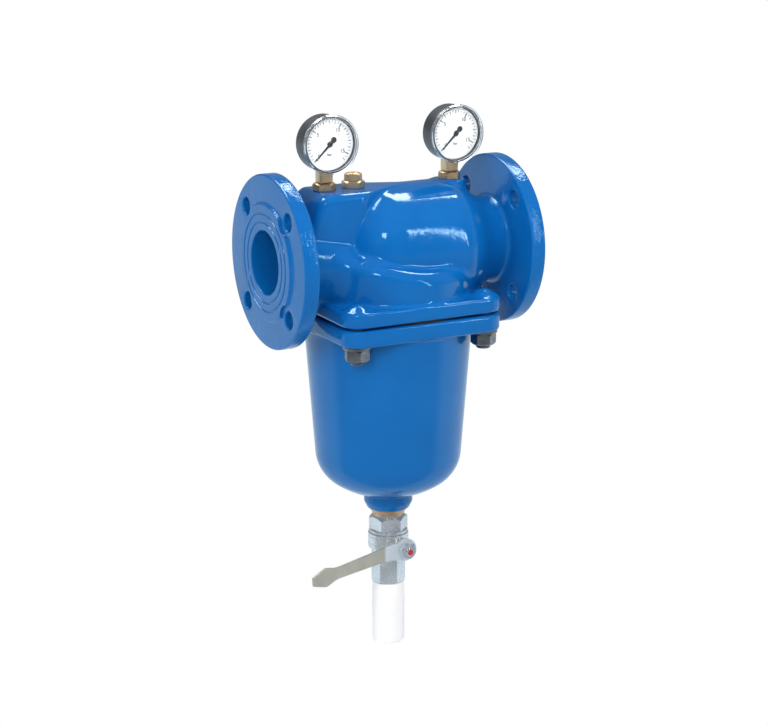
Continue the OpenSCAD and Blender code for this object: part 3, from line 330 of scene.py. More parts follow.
def screw(
    r: float, pitch: float, low: float, high: float, cut_low: float = 0.0, cut_high: float = 0.0,
) -> Shape:
    """Makes a closed bar with a thread on it.

    Args:
        r: Outer radius of the thread.
        pitch: Height of one turn.
        low: Height of the lower end.
        high: Height of the upper end.
        cut_low: Height of the chamfer at the lower end.
        cut_high: Height of the chamfer at the upper end.

    Returns:
        The bar as a shape.
    """
    angle = circle(72)
    depth = pitch * 0.52
    rings = []
    for z in np.linspace(low, high, max(8, int((high - low) / pitch * 10) + 1)):
        wave = (z / pitch - angle / (2 * np.pi)) % 1.0
        height = np.clip(2.3 * np.abs(2 * wave - 1) - 0.65, 0, 1)
        rr = r - depth * (1 - height)
        if cut_low > 0:
            rr = np.minimum(rr, r - depth + (z - low) / cut_low * depth)
        if cut_high > 0:
            rr = np.minimum(rr, r - depth + (high - z) / cut_high * depth)
        rings.append(ring(rr, angle, z))
    return loft(rings)


def rounded_square(width: float, corner: float, low: float, high: float, edge: float) -> Shape:
    """Makes a square plate with round corners and soft edges.

    Args:
        width: Width across the flats.
        corner: Radius of the corners in plan.
        low: Height of the underside.
        high: Height of the top.
        edge: Rounding of the long edges.

    Returns:
        The plate as a shape.
    """
    rings = []
    for end, inward, angles in ((low, 1, (90, 0)), (high, -1, (0, 90))):
        for a in np.radians(np.linspace(*angles, 7)):
            inset = edge * (1 - math.cos(a))
            z = end + inward * edge * (1 - math.sin(a))
            rings.append(square_ring(width / 2 - inset, corner - inset, z, 15))
    return loft(rings)


def hex_bush(x: float, turn: float = 0.0) -> Shape:
    """Makes the hex bush under a fitting on top of the head, turned by an angle in degrees."""
    return hex_bar(22, 0, 7.5, cut_high=1.7, turn=turn).moved(x, 0, PAD_Z)


def at_flange(outlet: bool) -> Matrix:
    """Gives the turn that lays a shape made about Z along the pipe, from a flange's face inwards."""
    turn = Matrix.Rotation(math.radians(-90 if outlet else 90), 4, "Y")
    return Matrix.Translation((MID_X if outlet else -MID_X, 0, 0)) @ turn


def to_front(z: float, turn: float = 0.0) -> Matrix:
    """Gives the turn that points a shape made about Z towards the viewer on the bowl axis.

    Args:
        z: Height of the axis.
        turn: Turn about that axis in degrees, down on the lever's side.

    Returns:
        The turn and move.
    """
    swing = Matrix.Rotation(math.radians(-turn), 4, "Y")
    return Matrix.Translation((0, 0, z)) @ swing @ Matrix.Rotation(math.radians(90), 4, "X")


def combine(base: bpy.types.Object, shape: Shape, step: Step) -> None:
    """Adds a closed shape to a closed object, or cuts it away.

    Args:
        base: Object that is changed.
        shape: Shape that is added or cut away.
        step: What is done with it.
    """
    tool = shape.build("tool")
    mod = base.modifiers.new("combine", "BOOLEAN")
    mod.operation = step.value
    mod.solver = "MANIFOLD"
    mod.object = tool
    bpy.context.view_layer.update()
    done = base.evaluated_get(bpy.context.evaluated_depsgraph_get())
    mesh = bpy.data.meshes.new_from_object(done)
    base.modifiers.clear()
    spare = (base.data, tool.data)
    base.data = mesh
    bpy.data.objects.remove(tool)
    for old in spare:
        bpy.data.meshes.remove(old)


# Distance fields for the cast head


@dataclass
class Places:
    """Coordinates at which the distance to a surface is asked for."""

    x: np.ndarray
    y: np.ndarray
    z: np.ndarray


Field = Callable[[Places], np.ndarray]


def fillet_union(a: np.ndarray, b: np.ndarray, r: float) -> np.ndarray:
    """Joins two distance fields with a fillet of radius r."""
    return np.maximum(r, np.minimum(a, b)) - np.hypot(np.maximum(r - a, 0), np.maximum(r - b, 0))


def round_corner(a: np.ndarray, b: np.ndarray, r: float) -> np.ndarray:
    """Keeps what lies inside two fields, with an edge of radius r between them."""
    a, b = a + r, b + r
    return np.minimum(np.maximum(a, b), 0) + np.hypot(np.maximum(a, 0), np.maximum(b, 0)) - r


def inside_all(*fields: np.ndarray) -> np.ndarray:
    """Keeps what lies inside all of the fields, with sharp edges."""
    return reduce(np.maximum, fields)


def surface_net(distance: Field, low: Point, high: Point, step: float) -> Shape:
    """Meshes the zero surface of a distance field.

    Args:
        distance: The field.
        low: Lowest corner of the box that holds the surface.
        high: Highest corner of that box.
        step: Size of a grid cell.

    Returns:
        Closed shape of four sided faces, its points pulled onto the surface.
    """
    axes = [np.arange(a, b + step, step, dtype=np.float64) for a, b in zip(low, high)]
    grid = Places(*np.meshgrid(*axes, indexing="ij", sparse=True))
    inside = distance(grid).astype(np.float32) < 0
    count = np.zeros([n - 1 for n in inside.shape], np.int8)
    for dx, dy, dz in np.ndindex(2, 2, 2):
        count += inside[dx:count.shape[0] + dx, dy:count.shape[1] + dy, dz:count.shape[2] + dz]
    mixed = (count > 0) & (count < 8)
    cells = np.argwhere(mixed)
    index = np.full(mixed.shape, -1, np.int64)
    index[mixed] = np.arange(len(cells))
    points = np.array(low, float) + (cells + 0.5) * step
    pulls = 6
    for _ in range(pulls):
        points = pull(distance, points, step)
    faces = []
    for axis in range(3):
        lower, upper = [slice(None)] * 3, [slice(None)] * 3
        lower[axis], upper[axis] = slice(0, -1), slice(1, None)
        a, b = inside[tuple(lower)], inside[tuple(upper)]
        for flip, edges in ((False, np.argwhere(a & ~b)), (True, np.argwhere(~a & b))):
            quad = []
            for du, dv in ((-1, -1), (0, -1), (0, 0), (-1, 0)):
                cell = edges.copy()
                cell[:, (axis + 1) % 3] += du
                cell[:, (axis + 2) % 3] += dv
                quad.append(index[cell[:, 0], cell[:, 1], cell[:, 2]])
            faces.append(np.stack(quad[::-1] if flip else quad, 1))
    return Shape(points, np.concatenate(faces).tolist())


def pull(distance: Field, points: np.ndarray, step: float) -> np.ndarray:
    """Moves points towards the zero surface of a field.

    Args:
        distance: The field.
        points: Points to move.
        step: Largest move.

    Returns:
        The moved points.
    """
    eps = 0.05
    grad = np.zeros_like(points)
    for i in range(3):
        shift = points.copy()
        shift[:, i] += eps
        ahead = distance(Places(*shift.T))
        shift[:, i] -= 2 * eps
        grad[:, i] = (ahead - distance(Places(*shift.T))) / (2 * eps)
    size = np.maximum((grad ** 2).sum(1), 0.05)
    move = -(distance(Places(*points.T)) / size)[:, None] * grad
    length = np.linalg.norm(move, axis=1, keepdims=True)
    return points + move * np.minimum(1, step / np.maximum(length, 1e-9))


# Finishes


class Graph:
    """Adds nodes to a node tree and fills their inputs."""

    def __init__(self, tree: bpy.types.NodeTree) -> None:
        """Takes the tree to add to."""
        self.tree = tree

    def fill(self, name: str, inputs: dict) -> None:
        """Gives inputs of a node their values.

        Args:
            name: Name of the node.
            inputs: Output of another node, or a value, for each input by its name or number.
        """
        sockets = self.tree.nodes[name].inputs
        for key, value in inputs.items():
            if isinstance(value, bpy.types.NodeSocket):
                self.tree.links.new(value, sockets[key])
            else:
                sockets[key].default_value = value

    def add(self, kind: str, inputs: dict | None = None, **settings: Any) -> bpy.types.bpy_prop_collection:
        """Adds a node.

        Args:
            kind: Type of the node, without the word that all the types start with.
            inputs: What each input gets, as for fill().
            settings: Properties of the node.

        Returns:
            The outputs of the new node.
        """
        node = self.tree.nodes.new(f"ShaderNode{kind}")
        for key, value in settings.items():
            setattr(node, key, value)
        self.fill(node.name, inputs or {})
        return node.outputs

    def source(self, name: str, key: str) -> bpy.types.NodeSocket:
        """Gives the output that feeds an input of a named node."""
        return self.tree.nodes[name].inputs[key].links[0].from_socket

    def place_x(self) -> bpy.types.NodeSocket:
        """Gives the place along the flow, in metres."""
        return self.add("SeparateXYZ", {"Vector": self.add("TexCoord")["Object"]})["X"]

    def math(self, operation: str, *values: Any) -> bpy.types.NodeSocket:
        """Works out a number from one to three others."""
        return self.add("Math", dict(enumerate(values)), operation=operation)["Value"]

    def vector(self, operation: str, *values: Any) -> bpy.types.bpy_prop_collection:
        """Works out a vector or a number from one or two vectors."""
        return self.add("VectorMath", dict(enumerate(values)), operation=operation)

    def span(
        self, value: Any, low: float, high: float, to_low: float = 0.0, to_high: float = 1.0, **settings: Any,
    ) -> bpy.types.NodeSocket:
        """Maps a number from one range to another.

        Args:
            value: The number.
            low: Start of its range.
            high: End of its range.
            to_low: What the start becomes.
            to_high: What the end becomes.
            settings: Properties of the node.

        Returns:
            The mapped number.
        """
        ends = {"From Min": low, "From Max": high, "To Min": to_low, "To Max": to_high}
        return self.add("MapRange", {"Value": value} | ends, **settings)["Result"]

    def colour(self, share: Any, first: Any, second: Any) -> bpy.types.NodeSocket:
        """Mixes two colours."""
        return self.add("Mix", {"Factor": share, "A": first, "B": second}, data_type="RGBA")["Result"]

    def surface(self, share: Any, first: Any, second: Any) -> bpy.types.NodeSocket:
        """Mixes two surfaces."""
        return self.add("MixShader", {"Fac": share, 1: first, 2: second})["Shader"]


def node_group(name: str, inputs: dict[str, float], outputs: Sequence[str]) -> bpy.types.NodeTree:
    """Makes an empty shader node group.

    Args:
        name: Name of the group.
        inputs: Names and first values of its number inputs.
        outputs: Names of its number outputs.

    Returns:
        The group with its input and output nodes in place.
    """
    tree = bpy.data.node_groups.new(name, "ShaderNodeTree")
    for key, value in inputs.items():
        socket = tree.interface.new_socket(name=key, in_out="INPUT", socket_type="NodeSocketFloat")
        socket.default_value = value
    for key in outputs:
        tree.interface.new_socket(name=key, in_out="OUTPUT", socket_type="NodeSocketFloat")
    tree.nodes.new("NodeGroupInput").name = "in"
    tree.nodes.new("NodeGroupOutput").name = "out"
    return tree


class Effects:
    """Shader node groups that several finishes share."""

    def __init__(self) -> None:
        """Builds each group once."""
        self.grain = self._grain()
        self.lines = self._lines()

    @staticmethod
    def _grain() -> bpy.types.NodeTree:
        """Builds the group that gives broad patches, fine grain and specks.

        Returns:
            The finished group.
        """
        tree = node_group("surface_grain", {"Broad scale": 30.0, "Fine scale": 400.0, "Speck scale": 900.0},
                          ("Broad", "Fine", "Specks"))
        graph, given = Graph(tree), tree.nodes["in"].outputs
        place = graph.add("TexCoord")["Object"]
        for key, detail in (("Broad", 3.0), ("Fine", 2.0)):
            look = {"Scale": given[f"{key} scale"], "Detail": detail, "Roughness": 0.55}
            noise = graph.add("TexNoise", {"Vector": place} | look)
            graph.fill("out", {key: noise["Fac"]})
        cells = graph.add("TexVoronoi", {"Vector": place, "Scale": given["Speck scale"]})
        core, rim = 0.10, 0.22
        graph.fill("out", {"Specks": graph.span(cells["Distance"], core, rim, 1.0, 0.0)})
        return tree

    @staticmethod
    def _lines() -> bpy.types.NodeTree:
        """Builds the group that gives the fine lines a tool leaves.

        Returns:
            The finished group.
        """
        tree = node_group("tool_lines", {"Across X": 0.0, "Across Y": 0.0, "Across Z": 1500.0}, ("Lines",))
        graph, given = Graph(tree), tree.nodes["in"].outputs
        scale = graph.add("CombineXYZ", {axis: given[f"Across {axis}"] for axis in "XYZ"})["Vector"]
        stretch = graph.vector("MULTIPLY", graph.add("TexCoord")["Object"], scale)["Vector"]
        noise = graph.add("TexNoise", {"Vector": stretch, "Scale": 1.0, "Detail": 2.0})
        graph.fill("out", {"Lines": noise["Fac"]})
        return tree


@dataclass(frozen=True)
class Finish:
    """One procedural material, described by its colours and the scale of its detail."""

    name: str
    base: Colour
    shade: Colour
    metallic: float = 0.0
    rough: tuple[float, float] = (0.3, 0.5)
    broad: float = 40.0
    fine: float = 500.0
    speck: float = 900.0
    speck_tint: Colour = (0.5, 0.5, 0.5)
    speck_share: float = 0.0
    bump: float = 0.1
    depth: float = 0.0002
    grain: Grain = Grain.NONE
    line_share: float = 0.0
    coat: float = 0.0
    coat_rough: float = 0.05
    subsurface: float = 0.0
    transmission: float = 0.0
    ior: float = 1.5

    def material(self, effects: Effects) -> bpy.types.Material:
        """Builds the material.

        Args:
            effects: Shared node groups.

        Returns:
            The new material.
        """
        mat = bpy.data.materials.new(self.name)
        mat.use_nodes = True
        graph = Graph(mat.node_tree)
        scales = {"Broad scale": self.broad, "Fine scale": self.fine, "Speck scale": self.speck}
        grain = graph.add("Group", scales, node_tree=effects.grain)
        tint = graph.colour(graph.span(grain["Broad"], *NOISE_RANGE), (*self.shade, 1.0), (*self.base, 1.0))
        if self.speck_share > 0:
            dots = graph.math("MULTIPLY", grain["Specks"], self.speck_share)
            tint = graph.colour(dots, tint, (*self.speck_tint, 1.0))
        height = grain["Fine"]
        if self.grain is not Grain.NONE:
            across = {f"Across {axis}": count for axis, count in zip("XYZ", self.grain.value)}
            lines = graph.add("Group", across, node_tree=effects.lines)["Lines"]
            height = graph.add("Mix", {"Factor": self.line_share, "A": height, "B": lines})["Result"]
        relief = {"Strength": self.bump, "Distance": self.depth, "Height": height}
        looks = {
            "Base Color": tint, "Roughness": graph.span(grain["Fine"], *NOISE_RANGE, *self.rough),
            "Normal": graph.add("Bump", relief, name="bump")["Normal"], "Metallic": self.metallic,
            "IOR": self.ior, "Coat Weight": self.coat, "Coat Roughness": self.coat_rough,
            "Transmission Weight": self.transmission,
        }
        if self.subsurface > 0:
            looks |= {"Subsurface Weight": self.subsurface, "Subsurface Radius": SOFT_DEPTH}
        graph.fill("Principled BSDF", looks)
        return mat


class Finishes:
    """All the materials of the filter, by name."""

    # Each row follows the order of Finish's own fields
    LIST: ClassVar[tuple[Finish, ...]] = (
        Finish("enamel", (0.003, 0.118, 0.395), (0.002, 0.102, 0.352), 0.0, (0.05, 0.10), 14, 130, 520,
               (0.01, 0.15, 0.46), 0.10, 0.16, 0.0006, ior=1.62),
        Finish("brass", (0.90, 0.69, 0.45), (0.72, 0.50, 0.29), 0.9, (0.26, 0.42), 60, 700, 700,
               (0.30, 0.18, 0.09), 0.25, 0.12, 0.0001, Grain.ROUND_Z, 0.5),
        Finish("bronze", (0.80, 0.52, 0.31), (0.66, 0.40, 0.22), 0.85, (0.28, 0.44), 70, 700, 800,
               (0.30, 0.17, 0.09), 0.2, 0.12, 0.0001, Grain.ROUND_Z, 0.5),
        Finish("nickel", (0.86, 0.87, 0.88), (0.72, 0.73, 0.74), 0.82, (0.20, 0.40), 45, 800, 1100,
               (0.40, 0.40, 0.40), 0.2, 0.36, 0.0002, Grain.ROUND_Z, 0.35),
        Finish("zinc", (0.88, 0.92, 0.96), (0.70, 0.75, 0.81), 0.9, (0.14, 0.28), 90, 800, 900,
               (0.30, 0.31, 0.33), 0.2, 0.12, 0.0001, Grain.ROUND_Z, 0.3),
        Finish("lever_zinc", (0.50, 0.49, 0.42), (0.42, 0.41, 0.35), 0.45, (0.38, 0.54), 60, 900, 900,
               (0.30, 0.29, 0.24), 0.25, 0.18, 0.00012, Grain.ALONG_X, 0.65),
        Finish("dark_steel", (0.42, 0.41, 0.43), (0.22, 0.21, 0.22), 1.0, (0.24, 0.46), 120, 900, 700,
               (0.34, 0.27, 0.20), 0.3, 0.25, 0.00015, Grain.ROUND_Z, 0.3),
        Finish("washer_steel", (0.42, 0.38, 0.34), (0.26, 0.22, 0.19), 1.0, (0.28, 0.48), 120, 900, 800,
               (0.20, 0.15, 0.10), 0.3, 0.15, 0.0001),
        Finish("screen_steel", (0.58, 0.59, 0.60), (0.44, 0.45, 0.46), 1.0, (0.28, 0.44), 60, 1500, 1800,
               (0.15, 0.15, 0.15), 0.5, 0.3, 0.0002, Grain.ROUND_Z, 0.4),
        Finish("spring_steel", (0.45, 0.46, 0.48), (0.32, 0.33, 0.35), 1.0, (0.24, 0.40), 90, 900, 900,
               (0.2, 0.2, 0.2), 0.2, 0.1, 0.0001),
        Finish("ball_chrome", (0.74, 0.75, 0.77), (0.66, 0.67, 0.69), 1.0, (0.05, 0.12), 40, 600, 900,
               bump=0.03, depth=0.00005),
        Finish("rubber", (0.018, 0.018, 0.019), (0.010, 0.010, 0.011), 0.0, (0.55, 0.75), 60, 900, 900,
               (0.05, 0.05, 0.05), 0.2, 0.2, 0.0001),
        Finish("gauge_case", (0.045, 0.047, 0.052), (0.030, 0.031, 0.034), 0.0, (0.28, 0.42), 50, 1800,
               2000, (0.07, 0.07, 0.075), 0.15, 0.18, 0.00008, coat=0.15, coat_rough=0.2),
        Finish("dial_white", (0.86, 0.87, 0.88), (0.82, 0.83, 0.84), 0.0, (0.35, 0.5), 60, 900, 1600,
               (0.76, 0.76, 0.75), 0.12, 0.05, 0.00004),
        Finish("ink", (0.012, 0.012, 0.013), (0.022, 0.022, 0.024), 0.0, (0.4, 0.55), 200, 1500, 1500,
               bump=0.05, depth=0.00003),
        Finish("needle_black", (0.012, 0.012, 0.013), (0.020, 0.020, 0.021), 0.0, (0.3, 0.45), 120, 1500,
               1500, (0.04, 0.04, 0.04), 0.2, 0.08, 0.00004),
        Finish("window", (0.95, 0.96, 0.965), (0.92, 0.93, 0.94), 0.0, (0.02, 0.05), 40, 700, 900,
               bump=0.01, depth=0.00003, transmission=1.0, ior=1.45),
        Finish("tube_white", (0.90, 0.905, 0.915), (0.86, 0.865, 0.88), 0.0, (0.34, 0.48), 30, 500, 1200,
               (0.76, 0.76, 0.75), 0.1, 0.08, 0.0001, subsurface=0.35),
        Finish("seat_white", (0.84, 0.84, 0.81), (0.76, 0.76, 0.73), 0.0, (0.4, 0.55), 60, 700, 1200,
               (0.66, 0.66, 0.62), 0.1, 0.08, 0.0001),
        Finish("insert_white", (0.80, 0.80, 0.76), (0.72, 0.72, 0.68), 0.0, (0.36, 0.5), 40, 700, 1200,
               (0.62, 0.60, 0.55), 0.15, 0.1, 0.0001),
        Finish("impeller_blue", (0.08, 0.22, 0.48), (0.06, 0.16, 0.38), 0.0, (0.34, 0.5), 60, 800, 1200,
               (0.2, 0.3, 0.5), 0.1, 0.1, 0.0001),
        Finish("lacquer_red", (0.55, 0.02, 0.02), (0.38, 0.01, 0.01), 0.0, (0.16, 0.3), 300, 900, 900,
               bump=0.25, depth=0.0002, coat=0.5),
    )

    def __init__(self) -> None:
        """Builds the materials and adds what only one of them has."""
        self.effects = Effects()
        self.made = {finish.name: finish.material(self.effects) for finish in self.LIST}
        self._enamel(Graph(self.made["enamel"].node_tree))
        self._lever(Graph(self.made["lever_zinc"].node_tree))
        self._window(Graph(self.made["window"].node_tree))

    def _enamel(self, graph: Graph) -> None:
        """Gives the blue enamel its waves, its blue gloss and a rough skin on the pipe flanges.

        Args:
            graph: Nodes of the enamel.
        """
        flange_zone, skin_heights, wave_height = (0.117, 0.127), (0.4, 4.5), 5.0
        peel = graph.add("Group", {"Broad scale": 60.0, "Fine scale": 330.0}, node_tree=self.effects.grain)
        reach = graph.math("ABSOLUTE", graph.math("SUBTRACT", graph.place_x(), MID_X * MM))
        zone = graph.span(reach, *flange_zone, *skin_heights)
        skin = graph.math("MULTIPLY", graph.math("ADD", peel["Broad"], peel["Fine"]), zone)
        plain = graph.source("bump", "Height")
        waves = graph.math("MULTIPLY_ADD", plain.node.outputs["Broad"], wave_height, plain)
        graph.fill("bump", {"Height": graph.math("ADD", waves, skin)})
        graph.fill("Principled BSDF", {"Specular Tint": (0.55, 0.90, 1.0, 1.0)})

    def _lever(self, graph: Graph) -> None:
        """Makes the lever's zinc bluish on the hub, where the handle has yellowed.

        Args:
            graph: Nodes of the lever's zinc.
        """
        hub = graph.span(graph.place_x(), (MID_X - 28) * MM, (MID_X - 24) * MM)
        tint = graph.colour(hub, graph.source("Principled BSDF", "Base Color"), (0.68, 0.74, 0.80, 1.0))
        graph.fill("Principled BSDF", {"Base Color": tint})

    def _window(self, graph: Graph) -> None:
        """Lets light through the gauge windows to the dials.

        Args:
            graph: Nodes of the clear plastic.
        """
        plastic = graph.tree.nodes["Principled BSDF"].outputs["BSDF"]
        clear = graph.add("BsdfTransparent")["BSDF"]
        seen = graph.surface(graph.add("LightPath")["Is Shadow Ray"], plastic, clear)
        graph.fill("Material Output", {"Surface": seen})

    def dress_node(self, node: str, name: str) -> None:
        """Gives a CAD node that stays one finish.

        Args:
            node: Name of the node.
            name: Name of the finish.
        """
        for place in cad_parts[node].material_slots:
            place.link = "OBJECT"
            place.material = self.made[name]
        LOG.info("%s: dressed as %s", node, name)


# Sub-assemblies


@dataclass
class Assembly:
    """A group of pieces that share their finishes and ride on bodies of the part."""

    finishes: Finishes

    def add(
        self, obj: bpy.types.Object, finish: str, *nodes: str, slot: str = "", body: Body = Body.FILTER,
    ) -> bpy.types.Object:
        """Dresses a piece, ties it to a body and hides the CAD nodes it stands for.

        Args:
            obj: The piece.
            finish: Name of its finish.
            nodes: CAD nodes it replaces.
            slot: Material slot of the record, where it isn't named as the finish is; not used.
            body: Body it rides on.

        Returns:
            The same object.
        """
        obj.data.materials.clear()
        obj.data.materials.append(self.finishes.made[finish])
        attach(obj, body.value)
        if nodes:
            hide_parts(*nodes)
        LOG.info("%s: %d faces on %s", obj.name, len(obj.data.polygons), body.value)
        return obj

    def build(self) -> None:
        """Makes the pieces."""
        raise NotImplementedError


@dataclass
class HeadCasting(Assembly):
    """Cast head: two pipe flanges, inlet elbow, outlet barrel, skirt, pedestal and square flange."""

    cell: float = 1.5
    box: tuple[Point, Point] = ((-124, -97, -62), (124, 97, 74))
    neck_r: float = 46.0
    neck_end: float = 122.0
    neck_lean: float = 12.0
    neck_pivot: float = -125.0
    neck_run: float = 87.0
    barrel_r: float = 70.5
    barrel_ends: tuple[float, float] = (-62.0, 102.0)
    barrel_domes: tuple[float, float] = (52.0, 44.0)
    outlet_start: float = 40.0
    skirt_r: float = 90.0
    skirt_top: float = -10.0
    skirt_tilt: float = 0.231
    skirt_edge: float = 16.0
    skirt_fillet: float = 6.0
    pedestal_half: float = 35.0
    pedestal_end: float = -91.0
    pad_x: float = 75.0
    pad_r: float = 17.5
    room_r: float = 62.5
    room_ends: tuple[float, float] = (-38.0, 92.0)
    lower_room_r: float = 78.0
    elbow_x: float = -70.0
    elbow_r: float = 24.0
    partition_tilt: float = 12.0
    partition_z: float = -34.5
    partition_half: float = 4.5
    seat_r: float = 46.0
    seat_wall: float = 10.0
    seat_half: float = 13.0
    open_z: float = -64.0
    plate_low: float = -59.5
    plate_top: float = -43.5
    plate_half: float = 93.85
    plate_corner: float = 22.0
    boss_z: float = -51.0
    boss_r: float = 15.0
    flange_r: float = 92.5
    flange_t: float = 20.0
    face_r: float = 61.0
    face_t: float = 3.0
    hole_circle_r: float = 72.5
    hole_r: float = 9.5
    bore_r: float = 34.0

    def distance(self, at: Places) -> np.ndarray:
        """Gives the distance to the casting without its pipe flanges.

        Args:
            at: Places to measure from.

        Returns:
            Distances, negative inside.
        """
        x, y, z = at.x, at.y, at.z
        side = np.hypot(y, z) - self.barrel_r
        start, end = self.barrel_ends
        start_dome, end_dome = self.barrel_domes
        neck_fillet, inlet_fillet, pedestal_fillet, pad_fillet, plate_fillet = 20.0, 4.0, 2.2, 6.0, 5.0
        pad_edge, top_edge = 3.0, 1.2
        barrel = np.maximum(round_corner(side, start - x, start_dome), round_corner(side, x - end, end_dome))
        outlet = inside_all(np.hypot(y, z) - self.neck_r, self.outlet_start - x, x - self.neck_end)
        body = fillet_union(barrel, outlet, neck_fillet)
        body = fillet_union(body, self.inlet(at), inlet_fillet)
        wider_x, wider_run = -42.0, 9.0
        wider = self.skirt_fillet / (1 + np.exp(np.clip((x - wider_x) / wider_run, -40, 40)))
        body = fillet_union(body, self.skirt(at), self.skirt_fillet + wider)
        body = fillet_union(body, self.pedestal(at), pedestal_fillet)
        pad = round_corner(np.hypot(x - self.pad_x, y) - self.pad_r, z - PAD_Z, pad_edge)
        body = fillet_union(body, np.maximum(pad, -z), pad_fillet)
        body = np.maximum(round_corner(body, z - PAD_Z, top_edge), self.plate_low + 6.0 - z)
        return np.maximum(fillet_union(body, self.plate(at), plate_fillet), -self.hollow(at))

    def skirt(self, at: Places) -> np.ndarray:
        """Gives the distance to the skirt, whose top edge rises towards the inlet.

        Args:
            at: Places to measure from.

        Returns:
            Distances, negative inside.
        """
        bend = 8.0
        top = self.skirt_top + self.skirt_tilt * bend * np.logaddexp(0, -at.x / bend)
        slope = self.skirt_tilt / (1 + np.exp(at.x / bend))
        over = (at.z - top) / np.sqrt(1 + slope ** 2)
        return round_corner(np.hypot(at.x, at.y) - self.skirt_r, over, self.skirt_edge)

    def hollow(self, at: Places) -> np.ndarray:
        """Gives the distance to the rooms on both sides of the tilted partition and to the seat in it.

        Args:
            at: Places to measure from.

        Returns:
            Distances, negative inside the rooms.
        """
        x, z = at.x, at.z
        pipe, turn = np.hypot(at.y, z), np.hypot(x, at.y)
        tilt = math.radians(self.partition_tilt)
        side = math.sin(tilt) * x + math.cos(tilt) * (z - self.partition_z)
        start, end = self.room_ends
        cone_x, cone_slope, cone_cosine, dome, hole_top = 58.0, 0.906, 0.741, 28.0, 4.0
        cone = cone_cosine * (pipe - self.room_r + cone_slope * (x - cone_x))
        upper = inside_all(round_corner(pipe - self.room_r, start - x, dome), cone, x - end,
                           self.partition_half - side)
        low = self.open_z - z
        lower = inside_all(turn - self.lower_room_r, side + self.partition_half, low)
        ring_r = turn - self.seat_r - self.seat_wall
        seat = np.maximum(ring_r, np.abs(z - self.partition_z) - self.seat_half)
        rooms = np.maximum(np.minimum(upper, lower), -seat)
        mouth = inside_all(ring_r, z - self.partition_z + self.seat_half, low)
        hole = inside_all(turn - self.seat_r, z - hole_top, low)
        return np.minimum(np.minimum(rooms, mouth), hole)

    def pedestal(self, at: Places) -> np.ndarray:
        """Gives the distance to the pedestal of the inlet gauge and the plug.

        Args:
            at: Places to measure from.

        Returns:
            Distances, negative inside.
        """
        across = np.abs(at.y)
        wedge_x, wedge_y, wedge_reach = 0.431, 0.902, 12.5
        lean_x, lean_z, foot_x = 0.9205, 0.3907, -116.0
        top_edge, end_edge, wedge_edge = 10.0, 8.0, 2.0
        wedge = wedge_x * at.x + wedge_y * across - wedge_reach
        end = -lean_x * (at.x - self.pedestal_end) - lean_z * (PAD_Z - at.z)
        block = round_corner(across - self.pedestal_half, at.z - PAD_Z, top_edge)
        block = round_corner(round_corner(block, end, end_edge), wedge, wedge_edge)
        return inside_all(block, -at.z, foot_x - at.x)

    def inlet(self, at: Places) -> np.ndarray:
        """Gives the distance to the inlet neck, which leans down to the bowl.

        Args:
            at: Places to measure from.

        Returns:
            Distances, negative inside.
        """
        c, s = math.cos(math.radians(self.neck_lean)), math.sin(math.radians(self.neck_lean))
        run = at.x - self.neck_pivot
        along, over = c * run - s * at.z, s * run + c * at.z
        neck = np.sqrt(np.maximum(along - self.neck_run / c, 0) ** 2 + at.y ** 2 + over ** 2) - self.neck_r
        return np.maximum(neck, -self.neck_end - at.x)

    def plate(self, at: Places) -> np.ndarray:
        """Gives the distance to the square flange with its domed stud bosses.

        Args:
            at: Places to measure from.

        Returns:
            Distances, negative inside.
        """
        x, y, z = np.abs(at.x), np.abs(at.y), at.z
        core = self.plate_half - self.plate_corner
        qx, qy = x - core, y - core
        past = np.hypot(np.maximum(qx, 0), np.maximum(qy, 0))
        plan = past + np.minimum(np.maximum(qx, qy), 0) - self.plate_corner
        middle, half = (self.plate_low + self.plate_top) / 2, (self.plate_top - self.plate_low) / 2
        edge, fillet = 3.5, 5.0
        plate = round_corner(plan, np.abs(z - middle) - half, edge)
        dome = np.sqrt((x - STUD) ** 2 + (y - STUD) ** 2 + (z - self.boss_z) ** 2) - self.boss_r
        return fillet_union(plate, np.maximum(dome, self.plate_low + 8.0 - z), fillet)

    def flange(self, outlet: bool) -> Shape:
        """Makes a pipe flange with its raised face, turned rings and neck, without its holes.

        Args:
            outlet: Whether it is the outlet flange.

        Returns:
            The flange, closed.
        """
        corners: list[Corner] = [(0, 0, 0)]
        for r in (41.4, 50.4):
            corners += [(r, 0, 0.4), (r + 0.4, 1.0, 0.4), (r + 2.0, 1.0, 0.4), (r + 2.4, 0, 0.4)]
        corners += [
            (self.face_r, 0, 0.8), (self.face_r + 2.4, self.face_t, 1.4), (self.flange_r, self.face_t, 2.2),
            (self.flange_r, self.flange_t, 2.2), (self.neck_r, self.flange_t, 9.0),
            (self.neck_r, self.flange_t + 10, 0), (self.neck_r - 3, self.flange_t + 16, 0),
            (0, self.flange_t + 16, 0),
        ]
        return lathe(corners, 7, 160).turned(at_flange(outlet))

    def hole(self, outlet: bool, angle: float) -> Shape:
        """Makes the cutter of a flange bolt hole with soft edges.

        Args:
            outlet: Whether it is in the outlet flange.
            angle: Place of the hole round the pipe axis in degrees.

        Returns:
            The cutter, closed.
        """
        wide, past, behind, r = 16, -5, 30, self.hole_r
        corners = [(0, behind, 0), (wide, behind, 0), (wide, self.flange_t, 0), (r, self.flange_t, 1.6),
                   (r, self.face_t, 1.6), (wide, self.face_t, 0), (wide, past, 0), (0, past, 0)]
        a = math.radians(angle)
        cutter = revolve(rounded(corners, 6)[::-1], 48)
        cutter = cutter.moved(self.hole_circle_r * math.cos(a), self.hole_circle_r * math.sin(a))
        return cutter.turned(at_flange(outlet))

